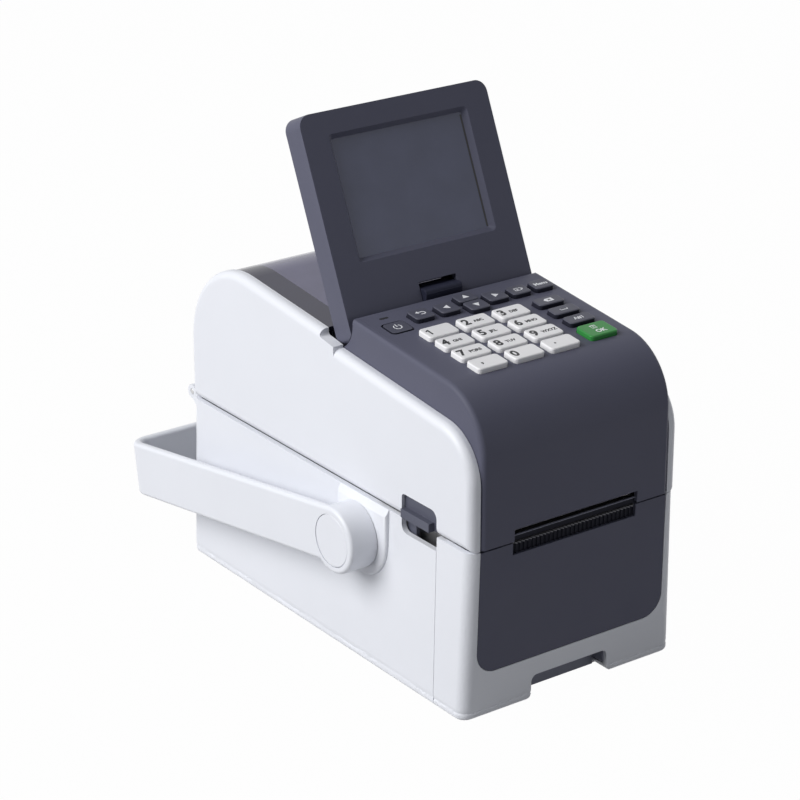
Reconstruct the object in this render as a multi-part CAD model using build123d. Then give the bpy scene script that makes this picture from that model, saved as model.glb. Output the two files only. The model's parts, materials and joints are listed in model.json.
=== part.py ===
from build123d import *
import math
import os

# A desktop label maker: a thermal label printer with a clamshell lid, a keypad, a tilting
# display and a carry handle. Millimetres. X runs to the right seen from the front, Y to the
# rear, Z up. Z is 0 on the table; while modelling, Y is 0 midway between the front and rear walls.

# ---- driving sizes: housing ----
BODY_WIDTH = 117.5        # over the side walls at the split line
FRONT_Y = -112.4          # front wall at the split line
REAR_Y = 112.0            # rear wall at the split line
SPLIT_Z = 82.6            # middle of the joint line between base and lid
SPLIT_GAP = 0.5
FOOT_HEIGHT = 1.6
SIDE_DRAFT = 1.3          # each side is this much wider at the bottom
FRONT_DRAFT = 2.8         # the front leans in by this much at the bottom
REAR_DRAFT = 0.7
CORNER_R = 5.5            # vertical corners of base and lid
BOTTOM_R = 4.5            # rounding under the base
WALL = 2.6                # moulded outer walls
FLOOR_T = 2.6
SEAM = 0.25               # visible joint between neighbouring mouldings
SHEET = 1.5               # steel chassis plates
RUN = 0.05                # radial clearance of a pin in its bore
FREE = 0.3                # clearance between parts that move past each other

# ---- driving sizes: lid ----
LID_FRONT_LINE_Z = 146.6  # top edge of the white side, front part, taken at Y = 0
LID_REAR_LINE_Z = 151.6   # the same for the part behind the display
PANEL_SLOPE = 5.8         # degrees that the top falls towards the front
LID_FRONT_R = 25.0
LID_REAR_R = 44.0
LID_EDGE_R = 4.0
LID_WALL = 3.0
REAR_WALL_TOP = 118.0     # the white rear wall ends here and the smoked cover starts
WINDOW_RECESS = 0.7

# ---- driving sizes: control cover ----
COVER_HALF = 53.0
COVER_FRONT_Y = -113.3
PANEL_Z = 163.05          # plane of the key panel, taken at Y = 0
COVER_FRONT_R = 30.4
COVER_BACK_Y = -18.6
COVER_T = 2.4
COVER_EDGE_R = 2.5

# ---- driving sizes: display ----
HINGE_Y = -3.0            # display hinge axis
HINGE_Z = 158.0
DISPLAY_TILT = 24.0       # degrees back from upright
DISPLAY_SIDE = 0.3        # each side of the display inside the cover's side
DISPLAY_TOP = 90.9        # from the hinge axis to the top edge
DISPLAY_FRONT = 9.6       # front face ahead of the hinge axis
DISPLAY_BACK = 3.2        # back face behind the hinge axis
DISPLAY_END_R = 13.5      # round lower end about the hinge axis
BEZEL_T = 3.5
DISPLAY_CORNER_R = 6.0
SCREEN_WIDTH = 73.6
SCREEN_HEIGHT = 55.0
SCREEN_TOP = 12.9         # glass below the display's top edge
SCREEN_DEPTH = 2.5        # glass behind the front face
RIM = 2.2                 # width of the sloping rim round the glass
LENS_T = 1.2
POCKET_GAP = 0.7          # round lower end to the trough that it turns in
KNUCKLE_HALF = 10.4
HINGE_BLOCK_R = 8.2
DISPLAY_PIN_R = 2.0
DISPLAY_PIN_HALF = 26.0

# ---- driving sizes: keys ----
WHITE_KEY = (16.6, 9.9)
WHITE_PITCH = (20.3, 11.8)
WHITE_FIRST = (-28.2, 30.0)   # middle of key 1: across, and down the panel from its rear edge
KEY_R = 1.9
KEY_HEIGHT = 2.3
KEY_GAP = 0.3
KEY_TRAVEL = 1.0
KEY_FLANGE = 0.6
KEY_FLANGE_T = 1.0
KEYPAD_START = 2.5        # down the panel
KEYPAD_MARGIN = 6.15      # keypad mat and board past the last row of keys
MAT_T = 1.5
# name: across, down the panel, width, length
DARK_KEYS = {
    "key_power": (-40.2, 15.4, 11.2, 9.6),
    "key_back": (-25.2, 12.2, 10.4, 9.4),
    "key_left": (-11.0, 12.6, 10.6, 9.4),
    "key_up": (2.9, 7.9, 10.8, 7.8),
    "key_down": (2.9, 16.7, 10.8, 8.8),
    "key_right": (16.2, 13.0, 11.0, 9.2),
    "key_feed": (29.4, 13.3, 10.4, 8.4),
    "key_menu": (42.5, 13.3, 10.4, 8.4),
    "key_erase": (34.6, 29.0, 14.6, 7.4),
    "key_space": (34.9, 39.9, 14.6, 7.4),
    "key_charset": (35.2, 50.4, 14.6, 7.4),
    "key_print": (35.4, 63.2, 15.6, 12.0),
}
WHITE_NAMES = [
    ["key_1", "key_2", "key_3"],
    ["key_4", "key_5", "key_6"],
    ["key_7", "key_8", "key_9"],
    ["key_comma", "key_0", "key_point"],
]

# ---- driving sizes: label path ----
LABEL_HALF = 31.5         # widest roll, half
SLOT_HALF = 35.0
SLOT_HEIGHT = 6.0
ROLL_R = 63.5
ROLL_Y = 38.0
ROLL_Z = 80.0
BAY_CLEAR = 2.5
BAY_WALL = 2.0
SENSOR_HALF = 6.0         # gap sensor under the deck
SENSOR_Y = (-80.0, -72.0)
SENSOR_T = 5.0
PLATEN_R = 7.5
PLATEN_Y = -97.5
PLATEN_TOP = 83.4
PLATEN_HALF = 33.0
SHAFT_R = 2.5
CHASSIS_HALF = 49.0       # inner faces of the chassis plates
CHASSIS_REAR_Y = 106.0
CHASSIS_FOOT_Y = (-76.0, -60.0)
CHASSIS_FOOT_W = 7.0
GEAR_MODULE = 0.7
GEAR_W = 3.0
PLATEN_TEETH = 14
IDLER_TEETH = 28
MOTOR_TEETH = 12
BACKLASH = 0.12

# ---- driving sizes: roll guides ----
GUIDE_T = 2.5
GUIDE_TRAVEL = 22.0
RACK_MODULE = 1.0
RACK_TEETH = 16
RACK_W = 3.0
RACK_LIFT = 2.5           # racks above the floor
RACK_OFFSET = 11.0        # guide feet from the middle of the roll bay
RACK_REACH = 7.5          # racks run past the middle
GUIDE_TOP = 120.0
FOOT_HALF = 2.6

# ---- driving sizes: handle ----
HANDLE_HALF = 75.5
HANDLE_Y = -31.2          # handle pivot
HANDLE_Z = 63.4
HANDLE_DROOP = 9.3        # degrees below level at rest
HUB_R = 15.9
HUB_CAP_R = 12.4
HUB_CAP_T = 1.6
ARM_T = 4.6
ARM_BELOW = 11.2          # arm's lower edge below the pivot
HANDLE_REACH = 181.0
HANDLE_CORNER_R = 11.0
HANDLE_EDGE_R = 1.8
HANDLE_PIN_R = 4.0
BRACKET_Y = -35.8
BRACKET_R = 20.4
BRACKET_BOTTOM = 45.1
BRACKET_PROUD = 2.2       # stands out from the side wall at the split line

# ---- driving sizes: front, latch and hinge ----
SIDE_SEAM_Y = -88.2       # joint between base and front frame
PANEL_BOTTOM = 20.0
PANEL_CORNER_R = 11.0
PANEL_FLANGE = 2.5        # hidden rim of the front panel behind the frame
PANEL_FLANGE_T = 1.4
TONGUE_T = 1.2            # overlap that lines up front frame and base shell
TONGUE_REACH = 5.0
BOARD_POSTS_X = 40.0
BOARD_POSTS_Y = (-80.0, -40.0)
BOARD_POST_H = 4.0
BOARD_T = 1.6
PAD_X = 44.0              # rubber feet
PAD_FRONT_Y = -78.0
PAD_REAR_Y = 92.0
PAD_R = 7.0
TEAR_BAR_T = 0.6
TEAR_BAR_REACH = 0.4      # teeth stand out of the front wall
TEAR_PITCH = 2.0
NOTCH_HALF = 23.5
NOTCH_HEIGHT = 10.0
LATCH_Y0 = -88.2
LATCH_Y1 = -62.4
LATCH_LOW = 75.6
LATCH_HIGH = 94.3
LATCH_AXIS_Y = -50.0
LATCH_AXIS_Z = 100.0
LATCH_SHAFT_R = 2.0
LATCH_SKIN = 1.6          # lid wall in front of the latch plates
LEVER_T = 1.9
LEDGE_OUT = 1.3           # ledges stand out from the side wall
LEDGE_Y0 = -84.1
LEDGE_Y1 = -63.3
LEDGE_TOP = 87.4
LEVER_GAP = 0.6           # lever plates to the front edge of the window
HOOK_PIN_Y = -59.0
HOOK_PIN_Z = 77.5
HOOK_PIN_R = 1.5
HOOK_PIN_LENGTH = 3.6
LID_PIN_Y = 116.8
LID_PIN_R = 1.5
KNUCKLE_R = 3.6
KNUCKLE_W = 13.0
KNUCKLE_X = 36.0

# ---- driving sizes: rear sockets, drive and head ----
# name: across, height, opening width, opening height
PORTS = {
    "power": (-34.0, 26.0, 11.0, 11.0),
    "usb": (-8.0, 26.0, 12.4, 11.4),
    "lan": (22.0, 27.0, 16.2, 13.4),
}
SOCKET_FIT = 0.1
SOCKET_WALL = 1.4
SOCKET_DEPTH = 8.0        # behind the rear wall's inner face
PORT_BOARD_HALF = 44.0
PORT_BOARD_Z = (12.0, 40.0)
MOTOR_SIZE = 28.0
MOTOR_LENGTH = 24.0
MOTOR_SHAFT_R = 2.0
IDLER_PIN_R = 2.0
IDLER_ANGLE = -60.0       # direction from platen to idler, and from idler to motor
MOTOR_ANGLE = -40.0
GEAR_GAP = 0.6
SHAFT_END = 0.4           # shafts and pins stand out of their gears
HEAD_HALF = 36.0
HEAD_Y0 = -107.0
HEAD_Y1 = -86.0
HEAD_HEIGHT = 16.0
HEAD_GAP = 0.3
BEAM_Z = 108.0
BEAM_T = 2.0
BEAM_Y0 = -104.0
BEAM_Y1 = -44.0
HEAD_POST_X = 30.0
HEAD_POST_R = 2.0
SPRING_T = 0.5
WINDOW_HALF = 40.0
WINDOW_Y0 = 17.0
WINDOW_Y1 = 96.0
COVER_REAR_Y = 2.5
STEP_Y = 1.2              # step in the white side under the display's pivot

# ---- worked out ----
DISPLAY_WIDTH = 2 * (COVER_HALF - DISPLAY_SIDE)
PANEL_HALF = COVER_HALF   # the dark front panel carries the cover's sides on downwards
HALF = BODY_WIDTH / 2
BASE_TOP = SPLIT_Z - SPLIT_GAP / 2
LID_BOTTOM = SPLIT_Z + SPLIT_GAP / 2
SLOPE = math.tan(math.radians(PANEL_SLOPE))
COS_S = math.cos(math.radians(PANEL_SLOPE))
SIN_S = math.sin(math.radians(PANEL_SLOPE))
BAY_R = ROLL_R + BAY_CLEAR
PLATEN_Z = PLATEN_TOP - PLATEN_R
PANEL_DEEP = FRONT_Y + FRONT_DRAFT + WALL + PANEL_FLANGE_T
CHASSIS_FRONT_Y = PANEL_DEEP + FREE
CHASSIS_TOP = BASE_TOP - 1.5
GEAR_X = -CHASSIS_HALF - SHEET - GEAR_GAP - GEAR_W
FLOOR_Z = FOOT_HEIGHT + FLOOR_T
RACK_Z = FLOOR_Z + RACK_LIFT
RACK_PITCH_R = RACK_MODULE * RACK_TEETH / 2
BUSH_R = SHAFT_R + 2.0
IDLER_R = GEAR_MODULE * IDLER_TEETH / 2
PLATEN_GEAR_R = GEAR_MODULE * PLATEN_TEETH / 2
MOTOR_GEAR_R = GEAR_MODULE * MOTOR_TEETH / 2
IDLER_Y = PLATEN_Y + (PLATEN_GEAR_R + IDLER_R) * math.cos(math.radians(IDLER_ANGLE))
IDLER_Z = PLATEN_Z + (PLATEN_GEAR_R + IDLER_R) * math.sin(math.radians(IDLER_ANGLE))
MOTOR_Y = IDLER_Y + (IDLER_R + MOTOR_GEAR_R) * math.cos(math.radians(MOTOR_ANGLE))
MOTOR_Z = IDLER_Z + (IDLER_R + MOTOR_GEAR_R) * math.sin(math.radians(MOTOR_ANGLE))
HEAD_Z = PLATEN_TOP + HEAD_GAP
HEAD_MID_Y = (HEAD_Y0 + HEAD_Y1) / 2
KEYPAD_LENGTH = WHITE_FIRST[1] + (len(WHITE_NAMES) - 1) * WHITE_PITCH[1] + WHITE_KEY[1] / 2
KEYPAD_LENGTH += KEYPAD_MARGIN - KEYPAD_START
PANEL = Plane(
    origin=(0, COVER_BACK_Y, PANEL_Z + SLOPE * COVER_BACK_Y),
    x_dir=(1, 0, 0),
    z_dir=(0, -SIN_S, COS_S),
)
TILT = math.radians(DISPLAY_TILT)
SCREEN = Plane(
    origin=(0, HINGE_Y, HINGE_Z), x_dir=(1, 0, 0), z_dir=(0, -math.cos(TILT), math.sin(TILT))
)

nodes = {}


# ---- helpers ----
def along_x(face, x0, x1):
    """Extrude a face drawn in (Y, Z) from x0 to x1."""
    return extrude(Plane.YZ.offset(x0) * face, x1 - x0)


def along_y(face, y0, y1):
    """Extrude a face drawn in (X, Z) from y0 to y1."""
    return extrude(Plane.XZ.offset(-y0) * face, y0 - y1)


def along_z(face, z0, z1):
    """Extrude a face drawn in (X, Y) from z0 to z1."""
    return extrude(Plane.XY.offset(z0) * face, z1 - z0)


def block(x0, x1, y0, y1, z0, z1):
    return Pos((x0 + x1) / 2, (y0 + y1) / 2, (z0 + z1) / 2) * Box(x1 - x0, y1 - y0, z1 - z0)


def rod_x(y, z, r, x0, x1):
    return along_x(Pos(y, z) * Circle(r), x0, x1)


def outline(*points, radii=None):
    """A closed face through the points, with one corner radius for each point."""
    if radii is None:
        return make_face(Polyline(*points, close=True))
    return make_face(FilletPolyline(*points, radius=radii, close=True))


def both_sides(solid):
    return solid + mirror(solid, Plane.YZ)


def base_section(z, inset):
    """Plan outline of the base at height z, moved inwards by inset."""
    low = (BASE_TOP - z) / (BASE_TOP - FOOT_HEIGHT)
    half = HALF + SIDE_DRAFT * low - inset
    front = FRONT_Y + FRONT_DRAFT * low + inset
    rear = REAR_Y + REAR_DRAFT * low - inset
    radius = max(CORNER_R - inset, 0.8)
    face = RectangleRounded(2 * half, rear - front, radius)
    return Plane.XY.offset(z) * (Pos(0, (front + rear) / 2) * face)


def base_form(inset, z0, z1):
    return loft([base_section(z0, inset), base_section(z1, inset)])


def gear_face(module, teeth, turn=0.0):
    """Involute spur gear outline, thinned for backlash."""
    pitch = module * teeth / 2
    base = pitch * math.cos(math.radians(20))
    tip = pitch + module
    root = pitch - 1.25 * module
    half = (math.pi * module / 2 - BACKLASH) / (2 * pitch)
    inv = math.tan(math.radians(20)) - math.radians(20)
    points = []
    low = max(base, root + 0.05)
    for k in range(teeth):
        middle = 2 * math.pi * k / teeth + math.radians(turn)
        flank = [(root, half + inv + 0.0)]
        for step in range(4):
            r = low + (tip - low) * step / 3
            a = math.acos(min(1.0, base / r))
            flank.append((r, half + inv - (math.tan(a) - a)))
        for r, a in flank:
            points.append((r * math.cos(middle - a), r * math.sin(middle - a)))
        for r, a in reversed(flank):
            points.append((r * math.cos(middle + a), r * math.sin(middle + a)))
    return outline(*points)


# ---- base ----
def base_tub():
    """The whole lower housing before it is parted into shell and front frame."""
    outer = base_form(0, FOOT_HEIGHT, BASE_TOP)
    lower = outer.edges().filter_by_position(Axis.Z, FOOT_HEIGHT - 0.1, FOOT_HEIGHT + 0.1)
    outer = fillet(lower, BOTTOM_R)
    inner = base_form(WALL, FLOOR_Z, BASE_TOP + 1)
    return outer - inner


def latch_window(x0, x1):
    """The finger opening that lid and base share, as a cutter."""
    face = outline(
        (LATCH_Y0, LATCH_LOW), (LATCH_Y1, LATCH_LOW), (LATCH_Y1, LATCH_HIGH), (LATCH_Y0, LATCH_HIGH),
        radii=[0.6, 4.0, 2.0, 4.0],
    )
    return along_x(face, x0, x1)


def base_shell(tub):
    shell = tub - block(-80, 80, -130, SIDE_SEAM_Y, -5, 100)
    shell -= both_sides(latch_window(CHASSIS_HALF + SHEET + 1, HALF + 5))
    shell -= both_sides(rod_x(HANDLE_Y, HANDLE_Z, HANDLE_PIN_R + RUN, HALF - 8, HALF + 8))
    for name, (x, z, w, h) in PORTS.items():
        shell -= block(x - w / 2, x + w / 2, REAR_Y - 6, REAR_Y + 4, z - h / 2, z + h / 2)
    for x in (-KNUCKLE_X, KNUCKLE_X):
        for side in (-1, 1):
            shell += hinge_knuckle(x + side * (KNUCKLE_W + FREE), KNUCKLE_W, False)
    for x in (-BOARD_POSTS_X, BOARD_POSTS_X):
        for y in BOARD_POSTS_Y:
            shell += Pos(x, y, FLOOR_Z + BOARD_POST_H / 2) * Cylinder(3, BOARD_POST_H)
    return shell + pinion_post()


def hinge_knuckle(x, width, on_lid):
    """One barrel of the rear hinge, blended to the lid above or the base below."""
    z_far = LID_BOTTOM + 7 if on_lid else BASE_TOP - 7
    z_near = SPLIT_Z
    wall_y = REAR_Y - 0.5
    face = outline((wall_y, z_far), (wall_y, z_near), (LID_PIN_Y, z_near), (LID_PIN_Y + KNUCKLE_R, z_near))
    web = along_x(face, x - width / 2, x + width / 2)
    barrel = rod_x(LID_PIN_Y, SPLIT_Z, KNUCKLE_R, x - width / 2, x + width / 2)
    bore = rod_x(LID_PIN_Y, SPLIT_Z, LID_PIN_R + RUN, x - width, x + width)
    keep = block(x - width, x + width, REAR_Y - 0.5, REAR_Y + 20, min(z_far, z_near) - 5, max(z_far, z_near) + 5)
    knuckle = (web + barrel) & keep
    gap_z0, gap_z1 = (SPLIT_Z - 20, LID_BOTTOM) if on_lid else (BASE_TOP, SPLIT_Z + 20)
    knuckle -= block(x - width, x + width, REAR_Y - 1, REAR_Y + 0.8, gap_z0, gap_z1)
    return knuckle - bore


def front_frame(tub):
    frame = tub & block(-80, 80, -130, SIDE_SEAM_Y - SEAM, -5, 100)
    hole = outline(
        (-PANEL_HALF, BASE_TOP + 5), (PANEL_HALF, BASE_TOP + 5),
        (PANEL_HALF, PANEL_BOTTOM), (-PANEL_HALF, PANEL_BOTTOM),
        radii=[0.1, 0.1, PANEL_CORNER_R, PANEL_CORNER_R],
    )
    frame -= along_y(hole, -130, PANEL_DEEP)
    notch = outline(
        (-NOTCH_HALF, -5), (NOTCH_HALF, -5), (NOTCH_HALF, FOOT_HEIGHT + NOTCH_HEIGHT),
        (-NOTCH_HALF, FOOT_HEIGHT + NOTCH_HEIGHT), radii=[0.1, 0.1, 3.0, 3.0],
    )
    frame -= along_y(notch, -130, FRONT_Y + FRONT_DRAFT + WALL + 1)
    tongue = base_form(WALL, FLOOR_Z, BASE_TOP) - base_form(WALL + TONGUE_T, FLOOR_Z, BASE_TOP + 1)
    beside = CHASSIS_HALF + SHEET + FREE
    tongue &= both_sides(
        block(beside, 80, SIDE_SEAM_Y - 8, SIDE_SEAM_Y + TONGUE_REACH, FLOOR_Z, LATCH_LOW - 1)
    )
    return frame + tongue


def front_panel():
    def region(grow, y0, y1):
        face = outline(
            (-PANEL_HALF - grow, BASE_TOP), (PANEL_HALF + grow, BASE_TOP),
            (PANEL_HALF + grow, PANEL_BOTTOM - grow), (-PANEL_HALF - grow, PANEL_BOTTOM - grow),
            radii=[0.1, 0.1, PANEL_CORNER_R + grow, PANEL_CORNER_R + grow],
        )
        return along_y(face, y0, y1)

    plate = base_form(0.1, FOOT_HEIGHT, BASE_TOP) - base_form(WALL, FLOOR_Z, BASE_TOP + 1)
    plate &= region(-SEAM, -130, PANEL_DEEP)
    flange = base_form(WALL, FLOOR_Z, BASE_TOP) - base_form(WALL + PANEL_FLANGE_T, FLOOR_Z, BASE_TOP + 1)
    flange &= region(PANEL_FLANGE, -130, PANEL_DEEP)
    panel = plate + flange
    panel -= block(-SLOT_HALF, SLOT_HALF, -130, -100, BASE_TOP - TEAR_BAR_T - FREE, BASE_TOP + 1)
    return panel - block(-SLOT_HALF, SLOT_HALF, -130, FRONT_Y + 2.0, BASE_TOP - 6.2, BASE_TOP + 1)


def tear_bar():
    """Serrated steel strip along the lower lip of the label slot."""
    tip = FRONT_Y - TEAR_BAR_REACH
    root = tip + 0.7 * TEAR_PITCH
    z0 = BASE_TOP - TEAR_BAR_T - FREE
    half = SLOT_HALF - 0.5
    bar = block(-half, half, root, FRONT_Y + WALL + PANEL_FLANGE_T, z0, z0 + TEAR_BAR_T)
    count = int(2 * half / TEAR_PITCH)
    start = -count * TEAR_PITCH / 2
    points = [(start, root)]
    for k in range(count):
        points.append((start + (k + 0.5) * TEAR_PITCH, tip))
        points.append((start + (k + 1) * TEAR_PITCH, root))
    points.append((-start, root + 1))
    points.append((start, root + 1))
    return bar + along_z(outline(*points), z0, z0 + TEAR_BAR_T)


def feet():
    """Four round rubber feet."""
    pads = []
    for x in (-PAD_X, PAD_X):
        for y in (PAD_FRONT_Y, PAD_REAR_Y):
            pads.append(Pos(x, y, FOOT_HEIGHT / 2) * Cylinder(PAD_R, FOOT_HEIGHT))
    return Compound(pads)


def chassis_plate(side):
    """Bent steel side plate that carries the platen, the drive and the roll bay."""
    x0 = side * CHASSIS_HALF
    x1 = side * (CHASSIS_HALF + SHEET)
    face = outline(
        (CHASSIS_FRONT_Y, FLOOR_Z), (CHASSIS_REAR_Y, FLOOR_Z), (CHASSIS_REAR_Y, CHASSIS_TOP),
        (CHASSIS_FRONT_Y, CHASSIS_TOP), radii=[1.0, 8.0, 3.0, 3.0],
    )
    plate = along_x(face, *sorted((x0, x1)))
    plate += block(*sorted((x0, x0 - side * CHASSIS_FOOT_W)), *CHASSIS_FOOT_Y, FLOOR_Z, FLOOR_Z + SHEET)
    plate -= rod_x(PLATEN_Y, PLATEN_Z, BUSH_R, -60, 60)
    if side < 0:
        plate -= rod_x(MOTOR_Y, MOTOR_Z, MOTOR_GEAR_R + 2, -60, 60)
        plate += rod_x(IDLER_Y, IDLER_Z, IDLER_PIN_R, GEAR_X - SHAFT_END, x1)
    plate += rod_x(HOOK_PIN_Y, HOOK_PIN_Z, HOOK_PIN_R, *sorted((x1, x1 + side * HOOK_PIN_LENGTH)))
    return Compound([plate, platen_bush(side)])


def platen_bush(side):
    """Flanged bush of the platen shaft, pressed into the chassis plate."""
    x = side * CHASSIS_HALF
    sleeve = rod_x(PLATEN_Y, PLATEN_Z, BUSH_R, *sorted((x, x + side * SHEET)))
    flange = rod_x(PLATEN_Y, PLATEN_Z, BUSH_R + 1.2, *sorted((x - side * 1.5, x)))
    return sleeve + flange - rod_x(PLATEN_Y, PLATEN_Z, SHAFT_R + RUN, -60, 60)


def roll_bay():
    """Trough for the roll, with the flat deck that leads the labels to the platen."""
    half = CHASSIS_HALF
    outer = Pos(ROLL_Y, ROLL_Z) * Circle(BAY_R + BAY_WALL)
    inner = Pos(ROLL_Y, ROLL_Z) * Circle(BAY_R)
    trough = along_x(outer, -half, half) - along_x(inner, -half - 1, half + 1)
    trough &= block(-half, half, ROLL_Y - BAY_R - 10, ROLL_Y + BAY_R + 10, 0, CHASSIS_TOP)
    for side in (-1, 1):
        y = ROLL_Y - side * RACK_OFFSET
        x0, x1 = sorted((side * 6, side * (LABEL_HALF + GUIDE_T + 2)))
        trough -= block(x0, x1, y - FOOT_HALF - FREE, y + FOOT_HALF + FREE, 0, 40)
    y_back = ROLL_Y - math.sqrt(BAY_R ** 2 - (ROLL_Z - CHASSIS_TOP) ** 2) - BAY_WALL / 2
    deck = block(-half, half, PLATEN_Y + PLATEN_R + 0.6, y_back, CHASSIS_TOP - BAY_WALL, CHASSIS_TOP)
    y0, y1 = SENSOR_Y
    sensor = block(-SENSOR_HALF, SENSOR_HALF, y0, y1, CHASSIS_TOP - BAY_WALL - SENSOR_T, CHASSIS_TOP - BAY_WALL)
    return Compound([trough + deck, sensor])


def stepper_motor():
    face = Pos(MOTOR_Y, MOTOR_Z) * RectangleRounded(MOTOR_SIZE, MOTOR_SIZE, 3)
    can = along_x(face, -CHASSIS_HALF, -CHASSIS_HALF + MOTOR_LENGTH)
    return can - rod_x(MOTOR_Y, MOTOR_Z, MOTOR_SHAFT_R + RUN, -60, -CHASSIS_HALF + MOTOR_LENGTH - 4)


def gear_on(y, z, teeth, turn):
    face = Pos(y, z) * gear_face(GEAR_MODULE, teeth, turn)
    return along_x(face, GEAR_X, GEAR_X + GEAR_W)


def sockets():
    """The three sockets in the rear wall: power, USB and network."""
    y0 = REAR_Y - WALL - SOCKET_DEPTH
    y1 = REAR_Y - 0.6
    face_y = REAR_Y + 1
    shells = []
    for name, (x, z, w, h) in PORTS.items():
        w -= 2 * SOCKET_FIT
        h -= 2 * SOCKET_FIT
        shell = block(x - w / 2, x + w / 2, y0, y1, z - h / 2, z + h / 2)
        if name == "power":
            shell -= along_y(Pos(x, z) * Circle(w / 2 - SOCKET_WALL), y0 + SOCKET_WALL, face_y)
            shell += along_y(Pos(x, z) * Circle(1.0), y0 + SOCKET_WALL, y1 - 1)
        elif name == "usb":
            shell -= block(x - 4.5, x + 4.5, y0 + SOCKET_WALL, face_y, z - 4.0, z + 4.0)
            shell += block(x - 2.8, x + 2.8, y0 + SOCKET_WALL, y1 - 1, z - 1.4, z + 1.4)
        else:
            shell -= block(x - 6.0, x + 6.0, y0 + SOCKET_WALL, face_y, z - 5.0, z + 3.4)
            shell -= block(x - 3.2, x + 3.2, y0 + SOCKET_WALL, face_y, z + 3.3, z + 5.4)
        shells.append(shell)
    return Compound(shells)


def circuit_boards():
    """The main board on its posts and the port board behind the sockets."""
    edge = BOARD_POSTS_X + 4
    low = FLOOR_Z + BOARD_POST_H
    main = block(-edge, edge, BOARD_POSTS_Y[0] - 4, BOARD_POSTS_Y[1] + 6, low, low + BOARD_T)
    y1 = REAR_Y - WALL - SOCKET_DEPTH
    port = block(-PORT_BOARD_HALF, PORT_BOARD_HALF, y1 - BOARD_T, y1, *PORT_BOARD_Z)
    return Compound([main, port])


def platen_roller():
    roller = rod_x(PLATEN_Y, PLATEN_Z, PLATEN_R, -PLATEN_HALF, PLATEN_HALF)
    return roller - rod_x(PLATEN_Y, PLATEN_Z, SHAFT_R, -60, 60)


def platen_shaft(turn):
    """Steel shaft with the driven gear pressed on its left end."""
    shaft = rod_x(PLATEN_Y, PLATEN_Z, SHAFT_R, GEAR_X - SHAFT_END, CHASSIS_HALF + SHEET + 0.5)
    return shaft + gear_on(PLATEN_Y, PLATEN_Z, PLATEN_TEETH, turn)


def mesh_turn(turn, teeth, next_teeth, direction):
    """Turn of the next gear that brings it into mesh with a gear in the given direction."""
    return direction + 180 - teeth / next_teeth * (turn - direction) - 180 / next_teeth


def idler_gear(turn):
    return gear_on(IDLER_Y, IDLER_Z, IDLER_TEETH, turn) - rod_x(IDLER_Y, IDLER_Z, IDLER_PIN_R + RUN, -60, 0)


def motor_rotor(turn):
    """Motor shaft with its pinion."""
    shaft = rod_x(MOTOR_Y, MOTOR_Z, MOTOR_SHAFT_R, GEAR_X - SHAFT_END, -CHASSIS_HALF + MOTOR_LENGTH - 5)
    return shaft + gear_on(MOTOR_Y, MOTOR_Z, MOTOR_TEETH, turn)


# ---- roll guides ----
def roll_guide(side):
    """Side plate that centres the roll, with the rack that moves it."""
    x_in = side * LABEL_HALF
    x_out = side * (LABEL_HALF + GUIDE_T)
    y_foot = ROLL_Y - side * RACK_OFFSET
    disc = Pos(ROLL_Y, ROLL_Z) * Circle(BAY_R - 1.5)
    plate = along_x(disc, min(x_in, x_out), max(x_in, x_out))
    plate &= block(-60, 60, ROLL_Y - 34, ROLL_Y + 34, 0, GUIDE_TOP)
    plate -= along_x(Pos(ROLL_Y, ROLL_Z + 4) * Circle(20), -60, 60)
    foot = block(min(x_in, x_out), max(x_in, x_out), y_foot - FOOT_HALF, y_foot + FOOT_HALF, RACK_Z, 25)
    y_line = ROLL_Y - side * RACK_PITCH_R
    y0, y1 = sorted((y_line - side * 1.25 * RACK_MODULE, y_foot - side * 1.0))
    x0, x1 = sorted((x_out, -side * RACK_REACH))
    bar = block(x0, x1, y0, y1, RACK_Z, RACK_Z + RACK_W)
    teeth = []
    pitch = math.pi * RACK_MODULE
    for k in range(math.ceil(x0 / pitch), math.floor(x1 / pitch)):
        x = (k + 0.5) * pitch
        w0 = pitch / 4 - BACKLASH / 2
        spread = math.tan(math.radians(20)) * RACK_MODULE
        face = outline(
            (x - w0 - spread * 1.25, y_line - side * 1.25 * RACK_MODULE),
            (x - w0 + spread, y_line + side * RACK_MODULE),
            (x + w0 - spread, y_line + side * RACK_MODULE),
            (x + w0 + spread * 1.25, y_line - side * 1.25 * RACK_MODULE),
        )
        teeth.append(along_z(face, RACK_Z, RACK_Z + RACK_W))
    guide = plate + foot + bar
    for tooth in teeth:
        guide += tooth
    return guide


def guide_pinion():
    face = Pos(0, ROLL_Y) * gear_face(RACK_MODULE, RACK_TEETH, 0)
    gear = along_z(face, RACK_Z, RACK_Z + RACK_W)
    return gear - Pos(0, ROLL_Y, RACK_Z) * Cylinder(2 + RUN, 20)


def pinion_post():
    return Pos(0, ROLL_Y, (FLOOR_Z + RACK_Z + RACK_W) / 2) * Cylinder(2, RACK_Z + RACK_W - FLOOR_Z)


# ---- lid ----
def lid_outline(inset, line_z):
    """Side outline of the lid under one straight top line, moved inwards."""
    front = FRONT_Y + inset
    rear = REAR_Y - inset

    def line(y):
        return line_z + SLOPE * y - inset / COS_S

    return outline(
        (front, LID_BOTTOM), (front, line(front)), (rear, line(rear)), (rear, LID_BOTTOM),
        radii=[0.2, LID_FRONT_R - inset, LID_REAR_R - inset, 0.2],
    )


def lid_form(line_z):
    """Solid lid under one top line, with its side edges rounded."""
    form = along_x(lid_outline(0, line_z), -HALF, HALF)
    rims = form.edges().filter_by(
        lambda e: abs(abs(e.center().X) - HALF) < 0.01 and e.bounding_box().max.Z > LID_BOTTOM + 3
    )
    return fillet(rims, LID_EDGE_R)


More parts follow.
